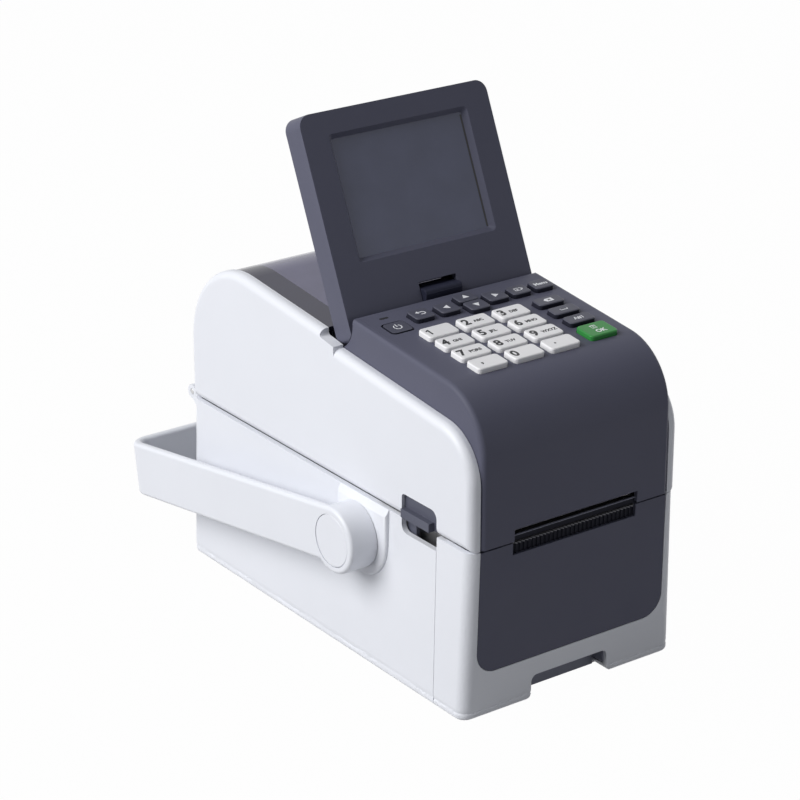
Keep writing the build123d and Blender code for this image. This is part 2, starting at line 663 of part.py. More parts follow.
def rear_step(grow):
    """Everything behind the step where the display turns."""
    face = outline(
        (-10.0 - grow, 100), (-10.0 - grow, 146.9), (STEP_Y - grow, 148.6), (STEP_Y - grow, 200), (200, 200),
        (200, 100), radii=[0.1, 0.1, 1.6, 0.1, 0.1, 0.1],
    )
    return along_x(face, -80, 80)


def lid_shell():
    shell = lid_form(LID_FRONT_LINE_Z) + (lid_form(LID_REAR_LINE_Z) & rear_step(0))
    half = HALF - LID_WALL
    cavity = along_x(lid_outline(LID_WALL, LID_FRONT_LINE_Z), -half, half)
    cavity += along_x(lid_outline(LID_WALL, LID_REAR_LINE_Z), -half, half) & rear_step(-LID_WALL)
    cavity += block(-half, half, FRONT_Y + LID_WALL, REAR_Y - LID_WALL, LID_BOTTOM - 1, LID_BOTTOM + 5)
    shell -= cavity
    half = COVER_HALF + SEAM
    shell -= block(-half, half, -150, REAR_Y - LID_WALL - 3, LID_BOTTOM - 1, 200)
    shell -= block(-half, half, REAR_Y - 40, REAR_Y + 5, REAR_WALL_TOP, 200)
    shell -= both_sides(latch_window(HALF - LID_WALL - 3, HALF + 5))
    pocket_half = HALF - LATCH_SKIN
    shell -= block(
        -pocket_half, pocket_half, LATCH_Y0 - 4.8, LATCH_AXIS_Y + 7, LID_BOTTOM - 1, LATCH_AXIS_Z + 7
    )
    for x in (-KNUCKLE_X, KNUCKLE_X):
        shell += hinge_knuckle(x, KNUCKLE_W, True)
    return shell


def cover_outline():
    """Side outline of the control cover, with the trough for the display's lower end."""
    def top(y):
        return PANEL_Z + SLOPE * y

    pocket_r = DISPLAY_END_R + POCKET_GAP
    start = math.radians(168)
    middle = math.radians(228)
    end = math.radians(282)

    def on_pocket(a):
        return (HINGE_Y + pocket_r * math.cos(a), HINGE_Z + pocket_r * math.sin(a))

    p_front = (COVER_FRONT_Y, LID_BOTTOM)
    p_top = (COVER_FRONT_Y, top(COVER_FRONT_Y))
    p_back = (COVER_BACK_Y, top(COVER_BACK_Y))
    line1 = FilletPolyline(p_front, p_top, p_back, radius=COVER_FRONT_R)
    line2 = Line(p_back, on_pocket(start))
    arc = ThreePointArc(on_pocket(start), on_pocket(middle), on_pocket(end))
    p_end = on_pocket(end)
    rest = Polyline(
        p_end, (COVER_REAR_Y, p_end[1] + 0.4), (COVER_REAR_Y, 136.0), (-30.0, 136.0),
        (-43.0, LID_BOTTOM), p_front,
    )
    return make_face(Curve() + [line1, line2, arc, rest])


def control_cover():
    face = cover_outline()
    outer = along_x(face, -COVER_HALF, COVER_HALF)
    rims = outer.edges().filter_by(
        lambda e: abs(abs(e.center().X) - COVER_HALF) < 0.01
        and e.center().Y < COVER_BACK_Y - 0.5
        and e.bounding_box().max.Z > LID_BOTTOM + 12
    )
    outer = fillet(rims, COVER_EDGE_R)
    inner_face = offset(face, -COVER_T, kind=Kind.INTERSECTION)
    half = COVER_HALF - COVER_T
    inner = along_x(inner_face, -half, half)
    inner += block(-half, half, COVER_FRONT_Y + COVER_T, -47, LID_BOTTOM - 1, LID_BOTTOM + 10)
    cover = outer - inner
    cover -= block(-SLOT_HALF, SLOT_HALF, COVER_FRONT_Y - 1, COVER_FRONT_Y + 6, LID_BOTTOM - 1, LID_BOTTOM + SLOT_HEIGHT)
    cover -= key_openings()
    return cover - rod_x(LATCH_AXIS_Y, LATCH_AXIS_Z, LATCH_SHAFT_R + 0.5, -60, 60)


def key_list():
    keys = dict(DARK_KEYS)
    for row, names in enumerate(WHITE_NAMES):
        for column, name in enumerate(names):
            keys[name] = (
                WHITE_FIRST[0] + column * WHITE_PITCH[0], WHITE_FIRST[1] + row * WHITE_PITCH[1],
                WHITE_KEY[0], WHITE_KEY[1],
            )
    return keys


def key_openings():
    holes = []
    for u, v, w, h in key_list().values():
        face = PANEL * (Pos(u, -v) * RectangleRounded(w + 2 * KEY_GAP, h + 2 * KEY_GAP, KEY_R + KEY_GAP))
        holes.append(extrude(face, 3) + extrude(face, -COVER_T - 1))
    return Compound(holes)


def key_cap(u, v, w, h):
    depth = COVER_T + FREE + KEY_FLANGE_T
    cap = extrude(RectangleRounded(w, h, KEY_R), KEY_HEIGHT)
    cap = fillet(cap.faces().sort_by(Axis.Z)[-1].edges(), 0.7)
    stem = Pos(0, 0, -depth / 2) * extrude(RectangleRounded(w, h, KEY_R), depth / 2, both=True)
    flange = Pos(0, 0, -depth) * extrude(RectangleRounded(w + 2 * KEY_FLANGE, h, KEY_R), KEY_FLANGE_T)
    return PANEL * (Pos(u, -v, 0) * (cap + stem + flange))


def keypad_stack():
    """Rubber mat and circuit board under the keys, parallel to the panel."""
    mat_top = -COVER_T - FREE - KEY_FLANGE_T - KEY_TRAVEL - 0.2
    width = 2 * (COVER_HALF - COVER_T - SEAM)
    face = Pos(0, -KEYPAD_START - KEYPAD_LENGTH / 2) * RectangleRounded(width, KEYPAD_LENGTH, 2)
    mat = extrude(Pos(0, 0, mat_top) * face, -MAT_T)
    board = extrude(Pos(0, 0, mat_top - MAT_T) * face, -BOARD_T)
    return Compound([PANEL * mat, PANEL * board])


def rear_cover_band():
    """Smoked cover between the white sides, before the window is parted from it."""
    band = along_x(lid_outline(WINDOW_RECESS, LID_REAR_LINE_Z), -COVER_HALF, COVER_HALF)
    band -= along_x(lid_outline(WINDOW_RECESS + 2.4, LID_REAR_LINE_Z), -COVER_HALF - 1, COVER_HALF + 1)
    keep = block(-60, 60, COVER_REAR_Y + FREE, 80, 130, 200) + block(-60, 60, 79, 130, REAR_WALL_TOP + SEAM, 200)
    return band & keep


def window_region(grow):
    half = WINDOW_HALF + grow
    return block(-half, half, WINDOW_Y0 - grow, WINDOW_Y1 + grow, 100, 200)


def rear_cover():
    band = rear_cover_band() - window_region(0)
    # a lip under the pane, and flanges that rest on the white sides' inner rims
    lip = along_x(lid_outline(WINDOW_RECESS + 2.4, LID_REAR_LINE_Z), -WINDOW_HALF - 3, WINDOW_HALF + 3)
    lip -= along_x(lid_outline(WINDOW_RECESS + 3.6, LID_REAR_LINE_Z), -60, 60)
    lip &= window_region(3)
    lip -= window_region(-2)
    ends = along_x(lid_outline(WINDOW_RECESS + 2.4, LID_REAR_LINE_Z), -COVER_HALF, COVER_HALF)
    ends -= along_x(lid_outline(WINDOW_RECESS + 6, LID_REAR_LINE_Z), -60, 60)
    ends &= block(-60, 60, COVER_REAR_Y + FREE, 100, 130, 200)
    ends -= block(-COVER_HALF + 2, COVER_HALF - 2, -20, 130, 100, 200)
    return band + lip + ends


def roll_window():
    return rear_cover_band() & window_region(0)


def lid_frame():
    """Inner beam of the lid that carries the print head and the latch."""
    half = COVER_HALF - COVER_T
    frame = block(-half, half, BEAM_Y0, BEAM_Y1, BEAM_Z, BEAM_Z + BEAM_T)
    for side in (-1, 1):
        x0, x1 = sorted((side * half, side * (half - 2)))
        frame += block(x0, x1, BEAM_Y0, BEAM_Y1, 96, BEAM_Z + BEAM_T)
        frame += Pos(side * HEAD_POST_X, HEAD_MID_Y, BEAM_Z - 8) * Cylinder(HEAD_POST_R, 16)
    return frame - rod_x(LATCH_AXIS_Y, LATCH_AXIS_Z, LATCH_SHAFT_R + RUN, -60, 60)


# ---- display ----
def display_side():
    """Side outline of the display: local x towards the front, y up the display."""
    r = DISPLAY_END_R
    a0 = math.asin(DISPLAY_FRONT / r)
    a1 = math.asin(DISPLAY_BACK / r)
    front_low = (DISPLAY_FRONT, -r * math.cos(a0))
    back_low = (-DISPLAY_BACK, -r * math.cos(a1))
    mid = (r * math.sin((a0 - a1) / 2), -r * math.cos((a0 - a1) / 2))
    arc = ThreePointArc(back_low, mid, front_low)
    rest = Polyline(front_low, (DISPLAY_FRONT, DISPLAY_TOP), (-DISPLAY_BACK, DISPLAY_TOP), back_low)
    return make_face(Curve() + [arc, rest])


def display_form():
    """The closed display body in its own frame: x across, y up, z to the front."""
    side = extrude(Plane(origin=(-DISPLAY_WIDTH / 2, 0, 0), x_dir=(0, 0, 1), z_dir=(-1, 0, 0)) * display_side(), -DISPLAY_WIDTH)
    low = -DISPLAY_END_R
    height = DISPLAY_TOP - low
    front = Pos(0, (DISPLAY_TOP + low) / 2, -20) * extrude(
        outline(
            (-DISPLAY_WIDTH / 2, height / 2), (DISPLAY_WIDTH / 2, height / 2),
            (DISPLAY_WIDTH / 2, -height / 2), (-DISPLAY_WIDTH / 2, -height / 2),
            radii=[DISPLAY_CORNER_R, DISPLAY_CORNER_R, 3.0, 3.0],
        ), 60,
    )
    notch_top = HINGE_BLOCK_R + FREE
    notch = Pos(0, (notch_top + low - 10) / 2, 0) * Box(2 * (KNUCKLE_HALF + FREE), notch_top - low + 10, 60)
    return (side & front) - notch


def display_seam_z():
    return DISPLAY_FRONT - BEZEL_T


def screen_middle():
    return DISPLAY_TOP - SCREEN_TOP - SCREEN_HEIGHT / 2


def display_bezel():
    seam = display_seam_z()
    form = display_form() & Pos(0, 40, seam + 50) * Box(200, 200, 100)
    y = screen_middle()
    front_face = Pos(0, y, DISPLAY_FRONT + 0.01) * RectangleRounded(SCREEN_WIDTH + 2 * RIM, SCREEN_HEIGHT + 2 * RIM, 2.0)
    glass_face = Pos(0, y, DISPLAY_FRONT - SCREEN_DEPTH) * RectangleRounded(SCREEN_WIDTH, SCREEN_HEIGHT, 1.0)
    form -= loft([front_face, glass_face])
    form -= Pos(0, y, DISPLAY_FRONT - SCREEN_DEPTH - 5) * extrude(RectangleRounded(SCREEN_WIDTH, SCREEN_HEIGHT, 1.0), 6)
    form -= Pos(0, y, DISPLAY_FRONT - SCREEN_DEPTH - LENS_T - 10) * extrude(
        RectangleRounded(SCREEN_WIDTH + 3, SCREEN_HEIGHT + 3, 1.0), LENS_T + 10
    )
    return SCREEN * form


def display_lens():
    face = Pos(0, screen_middle(), DISPLAY_FRONT - SCREEN_DEPTH - LENS_T) * RectangleRounded(
        SCREEN_WIDTH + 3, SCREEN_HEIGHT + 3, 1.0
    )
    return SCREEN * extrude(face, LENS_T)


def display_shell():
    seam = display_seam_z()
    form = display_form() & Pos(0, 40, seam - 50) * Box(200, 200, 100)
    low = 4.0
    high = DISPLAY_TOP - 2.2
    wide = DISPLAY_WIDTH - 4.4
    cavity = Pos(0, (low + high) / 2, -DISPLAY_BACK + 2.0) * extrude(RectangleRounded(wide, high - low, 4.0), 30)
    form -= cavity
    form -= Rot(0, 90, 0) * Cylinder(DISPLAY_PIN_R + RUN, 2 * DISPLAY_PIN_HALF + 1)
    return SCREEN * form


def lcd_module():
    lens_back = DISPLAY_FRONT - SCREEN_DEPTH - LENS_T
    back = -DISPLAY_BACK + 2.0
    y = screen_middle()
    panel = Pos(0, y, lens_back - 4.2) * extrude(Rectangle(SCREEN_WIDTH + 8, SCREEN_HEIGHT + 8), 4.2 - 0.5)
    panel += Pos(0, y, lens_back - 0.6) * extrude(Rectangle(SCREEN_WIDTH, SCREEN_HEIGHT), 0.6)
    legs = []
    for x in (-34, 34):
        for dy in (-24, 24):
            h = lens_back - 4.2 - back
            panel += Pos(x, y + dy, back + h / 2) * Cylinder(2.5, h)
    return SCREEN * panel


def display_pin():
    return SCREEN * (Rot(0, 90, 0) * Cylinder(DISPLAY_PIN_R, 2 * DISPLAY_PIN_HALF))


def hinge_block():
    """Black block in the middle of the trough that holds the display's pin."""
    head = rod_x(HINGE_Y, HINGE_Z, HINGE_BLOCK_R, -KNUCKLE_HALF, KNUCKLE_HALF)
    stem = block(
        -KNUCKLE_HALF, KNUCKLE_HALF, HINGE_Y - HINGE_BLOCK_R, COVER_REAR_Y - FREE,
        HINGE_Z - 2 * HINGE_BLOCK_R, HINGE_Z,
    )
    keep = rod_x(HINGE_Y, HINGE_Z, DISPLAY_END_R + POCKET_GAP, -KNUCKLE_HALF, KNUCKLE_HALF)
    solid = ((head + stem) & keep) - rod_x(HINGE_Y, HINGE_Z, DISPLAY_PIN_R, -60, 60)
    return Compound([solid, display_pin()])


# ---- handle ----
def handle_place(solid):
    return Pos(0, HANDLE_Y, HANDLE_Z) * Rot(-HANDLE_DROOP, 0, 0) * solid


def carry_handle():
    """U-shaped handle, made level with its pivot at the origin, then let down."""
    low = -ARM_BELOW
    high = HUB_R
    outer = outline(
        (-HANDLE_HALF, -20), (HANDLE_HALF, -20), (HANDLE_HALF, HANDLE_REACH), (-HANDLE_HALF, HANDLE_REACH),
        radii=[0.1, 0.1, HANDLE_CORNER_R, HANDLE_CORNER_R],
    )
    t = ARM_T
    inner = outline(
        (-HANDLE_HALF + t, -30), (HANDLE_HALF - t, -30), (HANDLE_HALF - t, HANDLE_REACH - t),
        (-HANDLE_HALF + t, HANDLE_REACH - t),
        radii=[0.1, 0.1, HANDLE_CORNER_R - t, HANDLE_CORNER_R - t],
    )
    loop = along_z(outer - inner, low, high) - block(-90, 90, -40, 0, -60, 60)
    rims = loop.edges().filter_by(lambda e: abs(e.center().Z - low) < 0.01 or abs(e.center().Z - high) < 0.01)
    rims = rims.filter_by(lambda e: not (abs(e.center().Y) < 0.01))
    loop = fillet(rims, HANDLE_EDGE_R)
    hub_in = HALF + BRACKET_PROUD + FREE
    for side in (-1, 1):
        x0, x1 = sorted((side * hub_in, side * HANDLE_HALF))
        hub = rod_x(0, 0, HUB_R, x0, x1)
        rim = hub.edges().filter_by(GeomType.CIRCLE).filter_by(lambda e: abs(abs(e.center().X) - HANDLE_HALF) < 0.01)
        hub = fillet(rim, HANDLE_EDGE_R)
        loop += hub
    for side in (-1, 1):
        x0, x1 = sorted((side * (HANDLE_HALF - HUB_CAP_T), side * (HANDLE_HALF + 2)))
        loop -= rod_x(0, 0, HUB_CAP_R + 0.25, x0, x1)
        x0, x1 = sorted((side * (hub_in - 1), side * (HANDLE_HALF - HUB_CAP_T - 2)))
        loop -= rod_x(0, 0, HANDLE_PIN_R + RUN, x0, x1)
    return handle_place(loop)


def hub_cap(side):
    x0, x1 = sorted((side * (HANDLE_HALF - HUB_CAP_T), side * (HANDLE_HALF - 0.1)))
    return handle_place(rod_x(0, 0, HUB_CAP_R, x0, x1))


def handle_pin(side):
    x0, x1 = sorted((side * (HALF - WALL - 2.5), side * (HANDLE_HALF - HUB_CAP_T - 3)))
    pin = rod_x(HANDLE_Y, HANDLE_Z, HANDLE_PIN_R, x0, x1)
    x0, x1 = sorted((side * (HALF - WALL - 2.5), side * (HALF - WALL + 0.0)))
    head = rod_x(HANDLE_Y, HANDLE_Z, HANDLE_PIN_R + 3, x0, x1) - (tub_solid() - base_form(WALL, FLOOR_Z, BASE_TOP + 1))
    return pin + head


def tub_solid():
    return base_form(0, FOOT_HEIGHT, BASE_TOP)


def handle_bracket(side):
    """U-shaped plate on the side wall that the handle's hub turns against."""
    face = outline(
        (BRACKET_Y - BRACKET_R, BASE_TOP), (BRACKET_Y + BRACKET_R, BASE_TOP),
        (BRACKET_Y + BRACKET_R, BRACKET_BOTTOM), (BRACKET_Y - BRACKET_R, BRACKET_BOTTOM),
        radii=[0.1, 0.1, BRACKET_R - 0.05, BRACKET_R - 0.05],
    )
    x_out = HALF + BRACKET_PROUD
    plate = along_x(face, HALF - 1, x_out)
    rim = plate.edges().filter_by(
        lambda e: abs(e.center().X - x_out) < 0.01 and e.center().Z < BASE_TOP - 0.5
    )
    plate = fillet(rim, 1.4)
    plate -= Pos(x_out, BRACKET_Y, BASE_TOP) * Rot(0, 0, 0) * wedge_cut()
    plate -= tub_solid()
    plate -= rod_x(HANDLE_Y, HANDLE_Z, HANDLE_PIN_R + RUN, 40, 80)
    return plate if side > 0 else mirror(plate, Plane.YZ)


def wedge_cut():
    """Bevel along the bracket's top edge."""
    face = Plane.XZ * outline((0.5, -4.5), (0.5, 0.5), (-2.0, 0.5), (-2.0, 0))
    return extrude(face, 60, both=True)


# ---- latch and head ----
def release_latch():
    """Cross shaft, and for each side a lever plate with its ledge and a hook."""
    face_x = HALF - LATCH_SKIN - FREE
    latch = rod_x(LATCH_AXIS_Y, LATCH_AXIS_Z, LATCH_SHAFT_R, -face_x, face_x)
    y0 = LATCH_Y0 + LEVER_GAP
    y1 = LATCH_Y1 + 1.4
    low = LID_BOTTOM + FREE
    arm_half = LATCH_SHAFT_R + 2
    plate = outline(
        (y0, low), (y1, low), (y1, LATCH_HIGH), (LATCH_AXIS_Y + arm_half, LATCH_AXIS_Z - arm_half),
        (LATCH_AXIS_Y + arm_half, LATCH_AXIS_Z + arm_half), (y1, LATCH_AXIS_Z + arm_half),
        (y0, LATCH_HIGH + 4), radii=[0.5, 2.0, 3.0, 3.0, 3.0, 3.0, 3.0],
    )
    ledge = outline((LEDGE_Y0, low), (LEDGE_Y1, low), (LEDGE_Y1, LEDGE_TOP), (LEDGE_Y0, LEDGE_TOP))
    hook = outline(
        (-69.0, 90.0), (-69.0, 74.0), (HOOK_PIN_Y - 3.0, 73.0), (HOOK_PIN_Y - 1.9, 74.6),
        (HOOK_PIN_Y - 3.6, 76.5), (HOOK_PIN_Y - 3.6, 90.0),
    )
    one = along_x(plate, face_x - LEVER_T, face_x)
    one += along_x(ledge, face_x - 0.5, HALF + LEDGE_OUT)
    one += along_x(hook, face_x - LEVER_T - 1.5, face_x - LEVER_T + 0.5)
    return latch + both_sides(one)


def print_head():
    """Heat sink with the print line under it, guided on two posts."""
    head = block(-HEAD_HALF, HEAD_HALF, HEAD_Y0, HEAD_Y1, HEAD_Z + 1.0, HEAD_Z + HEAD_HEIGHT)
    head += block(-HEAD_HALF, HEAD_HALF, PLATEN_Y - 4, PLATEN_Y + 4, HEAD_Z, HEAD_Z + 1.1)
    for k in range(5):
        y = HEAD_Y0 + 2.2 + 4.0 * k
        head -= block(-HEAD_HALF - 1, HEAD_HALF + 1, y, y + 1.8, HEAD_Z + HEAD_HEIGHT - 5, HEAD_Z + HEAD_HEIGHT + 1)
    for x in (-HEAD_POST_X, HEAD_POST_X):
        head += Pos(x, HEAD_MID_Y, HEAD_Z + HEAD_HEIGHT / 2 + 0.5) * Cylinder(4, HEAD_HEIGHT - 1)
        head -= Pos(x, HEAD_MID_Y, HEAD_Z + HEAD_HEIGHT) * Cylinder(HEAD_POST_R + RUN, 22)
    return head


def head_spring():
    """Bowed leaf spring between the lid's beam and the head."""
    low = HEAD_Z + HEAD_HEIGHT
    t = SPRING_T
    under = ThreePointArc((-22, BEAM_Z - t), (0, low), (22, BEAM_Z - t))
    over = ThreePointArc((22, BEAM_Z), (0, low + t), (-22, BEAM_Z))
    ends = [Line((22, BEAM_Z - t), (22, BEAM_Z)), Line((-22, BEAM_Z), (-22, BEAM_Z - t))]
    face = make_face(Curve() + [under, ends[0], over, ends[1]])
    return along_y(face, HEAD_MID_Y - 4, HEAD_MID_Y + 4)


def lid_hinge_pins():
    half = 1.5 * KNUCKLE_W + FREE
    return [rod_x(LID_PIN_Y, SPLIT_Z, LID_PIN_R, x - half, x + half) for x in (-KNUCKLE_X, KNUCKLE_X)]


# ---- assembly ----
def build_base():
    tub = base_tub()
    nodes["base_shell"] = base_shell(tub)
    nodes["front_frame"] = front_frame(tub)
    nodes["front_panel"] = front_panel()
    nodes["tear_bar"] = tear_bar()
    nodes["rubber_feet"] = feet()
    nodes["chassis_plate_left"] = chassis_plate(-1)
    nodes["chassis_plate_right"] = chassis_plate(1)
    nodes["roll_bay"] = roll_bay()
    nodes["stepper_motor"] = stepper_motor()
    nodes["circuit_boards"] = circuit_boards()
    nodes["rear_sockets"] = sockets()
    nodes["handle_brackets"] = Compound([handle_bracket(-1), handle_bracket(1)])
    nodes["pivot_pins"] = Compound([handle_pin(-1), handle_pin(1), *lid_hinge_pins()])


def build_drive():
    turn = IDLER_ANGLE
    nodes["platen_roller"] = platen_roller()
    nodes["platen_shaft"] = platen_shaft(turn)
    turn = mesh_turn(turn, PLATEN_TEETH, IDLER_TEETH, IDLER_ANGLE)
    nodes["idler_gear"] = idler_gear(turn)
    turn = mesh_turn(turn, IDLER_TEETH, MOTOR_TEETH, MOTOR_ANGLE)
    nodes["motor_rotor"] = motor_rotor(turn)
    nodes["guide_left"] = roll_guide(-1)
    nodes["guide_right"] = roll_guide(1)
    nodes["guide_pinion"] = guide_pinion()


def build_lid():
    nodes["lid_shell"] = lid_shell()
    nodes["control_cover"] = control_cover()
    nodes["rear_cover"] = rear_cover()
    nodes["roll_window"] = roll_window()
    nodes["lid_frame"] = lid_frame()
    nodes["keypad_board"] = keypad_stack()
    nodes["display_hinge_block"] = hinge_block()
    nodes["release_latch"] = release_latch()
    nodes["print_head"] = print_head()
    nodes["head_spring"] = head_spring()
    for name, size in key_list().items():
        nodes[name] = key_cap(*size)


def build_display():
    nodes["display_bezel"] = display_bezel()
    nodes["display_lens"] = display_lens()
    nodes["display_shell"] = display_shell()
    nodes["lcd_module"] = lcd_module()


def build_handle():
    nodes["carry_handle"] = carry_handle()
    nodes["hub_caps"] = Compound([hub_cap(-1), hub_cap(1)])


def write_nodes():
    """The origin goes under the middle of the whole outline."""
    boxes = [solid.bounding_box() for solid in nodes.values()]
    middle = (min(b.min.Y for b in boxes) + max(b.max.Y for b in boxes)) / 2
    os.makedirs("parts", exist_ok=True)
    for name, solid in nodes.items():
        export_step(Pos(0, -middle, 0) * solid, f"parts/{name}.step")


build_base()
build_drive()
build_lid()
build_display()
build_handle()
write_nodes()
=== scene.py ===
import json
import math

import bmesh
import bpy
from mathutils import Matrix, Vector


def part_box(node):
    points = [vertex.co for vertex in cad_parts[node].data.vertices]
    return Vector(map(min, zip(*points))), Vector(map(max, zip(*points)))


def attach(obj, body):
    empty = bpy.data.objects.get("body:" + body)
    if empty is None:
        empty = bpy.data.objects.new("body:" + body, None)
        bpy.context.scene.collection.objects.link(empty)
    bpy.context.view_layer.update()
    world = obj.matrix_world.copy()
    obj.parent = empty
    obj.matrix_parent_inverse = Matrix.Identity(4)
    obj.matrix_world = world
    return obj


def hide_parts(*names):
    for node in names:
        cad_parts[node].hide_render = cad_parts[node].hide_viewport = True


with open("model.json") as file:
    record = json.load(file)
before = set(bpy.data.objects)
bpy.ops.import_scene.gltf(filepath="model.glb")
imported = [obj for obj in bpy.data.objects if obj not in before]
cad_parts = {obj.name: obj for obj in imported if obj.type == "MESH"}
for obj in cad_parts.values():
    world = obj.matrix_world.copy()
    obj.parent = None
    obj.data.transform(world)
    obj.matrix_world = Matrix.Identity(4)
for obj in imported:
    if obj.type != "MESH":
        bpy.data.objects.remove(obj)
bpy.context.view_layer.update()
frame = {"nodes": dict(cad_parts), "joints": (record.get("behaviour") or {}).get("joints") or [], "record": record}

MM = 0.001

# ---- the camera ----
EYE = Vector((-0.7296, -1.0003, 0.6105))
AZIMUTH = math.radians(-36.07)
ELEVATION = math.radians(22.51)
LENS = 126.95
SENSOR_WIDTH = 36


def make_camera():
    look = Vector((
        -math.sin(AZIMUTH) * math.cos(ELEVATION),
        math.cos(AZIMUTH) * math.cos(ELEVATION),
        -math.sin(ELEVATION),
    ))
    data = bpy.data.cameras.new("camera")
    data.lens = LENS
    data.sensor_width = SENSOR_WIDTH
    camera = bpy.data.objects.new("camera", data)
    camera.location = EYE
    camera.rotation_euler = look.to_track_quat("-Z", "Y").to_euler()
    bpy.context.scene.collection.objects.link(camera)
    bpy.context.scene.camera = camera


make_camera()


# ---- materials ----
NOISE_LOW, NOISE_HIGH = 0.3, 0.7     # most values of a noise lie between these


def linear(red, green, blue):
    """A screen colour from 0 to 255 as linear light."""
    def one(value):
        value /= 255
        return value / 12.92 if value <= 0.04045 else ((value + 0.055) / 1.055) ** 2.4

    return (one(red), one(green), one(blue), 1.0)


def shade(colour, factor):
    return tuple(min(1.0, c * factor) for c in colour[:3]) + (1.0,)


class Nodes:
    """A material's node tree, with short calls for what every finish here uses."""

    def __init__(self, name):
        self.material = bpy.data.materials.new(name)
        self.material.use_nodes = True
        self.tree = self.material.node_tree
        self.shader = self.tree.nodes["Principled BSDF"]
        self.place = self.add("ShaderNodeTexCoord").outputs["Object"]

    def add(self, kind, **values):
        node = self.tree.nodes.new(kind)
        for name, value in values.items():
            node.inputs[name.replace("_", " ")].default_value = value
        return node

    def join(self, source, target):
        self.tree.links.new(source, target)

    def fix(self, name, value):
        """Gives one of the shader's inputs a value."""
        self.shader.inputs[name].default_value = value

    def drive(self, name, source):
        """Joins one of the shader's inputs to another node's output."""
        self.join(source, self.shader.inputs[name])

    def noise(self, per_metre, detail, place=None):
        node = self.add("ShaderNodeTexNoise", Scale=per_metre, Detail=detail)
        self.join(self.place if place is None else place, node.inputs["Vector"])
        return node.outputs["Fac"]

    def between(self, noise, low, high):
        """A noise as a value from low to high."""
        node = self.add(
            "ShaderNodeMapRange", From_Min=NOISE_LOW, From_Max=NOISE_HIGH, To_Min=low, To_Max=high
        )
        self.join(noise, node.inputs["Value"])
        return node.outputs["Result"]

    def shades(self, noise, colour, darkest, lightest):
        """A noise as shades of a colour."""
        node = self.add("ShaderNodeValToRGB")
        low, high = node.color_ramp.elements[0], node.color_ramp.elements[1]
        low.position, high.position = NOISE_LOW, NOISE_HIGH
        low.color, high.color = shade(colour, darkest), shade(colour, lightest)
        self.join(noise, node.inputs["Fac"])
        return node.outputs["Color"]

    def bump(self, height, depth):
        """Relief of the given depth in metres."""
        node = self.add("ShaderNodeBump", Strength=1.0, Distance=depth)
        self.join(height, node.inputs["Height"])
        self.drive("Normal", node.outputs["Normal"])


def moulded(name, colour, roughness=0.45, grain=1800, depth=0.00001, spread=0.03, specular=0.5):
    """Injection-moulded plastic: spark-eroded grain, faint flow clouds, uneven gloss."""
    nodes = Nodes(name)
    clouds = nodes.noise(per_metre=14, detail=4.0)
    nodes.drive("Base Color", nodes.shades(clouds, colour, 1 - spread, 1 + spread))
    handled = nodes.noise(per_metre=45, detail=5.0)
    nodes.drive("Roughness", nodes.between(handled, roughness - 0.05, roughness + 0.05))
    nodes.fix("Specular IOR Level", specular)
    nodes.bump(nodes.noise(grain, detail=2.0), depth)
    return nodes.material


def metal(name, colour, roughness=0.35, brushed=(1, 40, 1)):
    """Rolled or ground metal with fine marks along one direction."""
    nodes = Nodes(name)
    scale = nodes.add("ShaderNodeMapping", Scale=brushed)
    nodes.join(nodes.place, scale.inputs["Vector"])
    marks = nodes.noise(per_metre=120.0, detail=6.0, place=scale.outputs["Vector"])
    nodes.drive("Base Color", nodes.shades(marks, colour, 0.85, 1.1))
    nodes.drive("Roughness", nodes.between(marks, roughness - 0.08, roughness + 0.1))
    nodes.fix("Metallic", 1.0)
    nodes.bump(marks, depth=0.000006)
    return nodes.material


def glazing(name, colour, transmission, roughness):
    """Smoked or dark glass with a trace of dust on it."""
    nodes = Nodes(name)
    dust = nodes.noise(per_metre=60, detail=6.0)
    nodes.drive("Base Color", nodes.shades(dust, colour, 0.94, 1.06))
    nodes.drive("Roughness", nodes.between(dust, roughness, roughness + 0.03))
    nodes.fix("Transmission Weight", transmission)
    nodes.fix("IOR", 1.5)
    return nodes.material


def circuit_finish():
    """Green solder mask with paler copper tracks under it."""
    nodes = Nodes("circuit_board")
    tracks = nodes.add(
        "ShaderNodeTexBrick", Scale=160.0,
        Color1=linear(22, 92, 52), Color2=linear(20, 84, 48), Mortar=linear(60, 128, 76),
    )
    nodes.join(nodes.place, tracks.inputs["Vector"])
    nodes.drive("Base Color", tracks.outputs["Color"])
    nodes.fix("Roughness", 0.3)
    nodes.bump(nodes.noise(per_metre=900, detail=3.0), depth=0.00001)
    return nodes.material


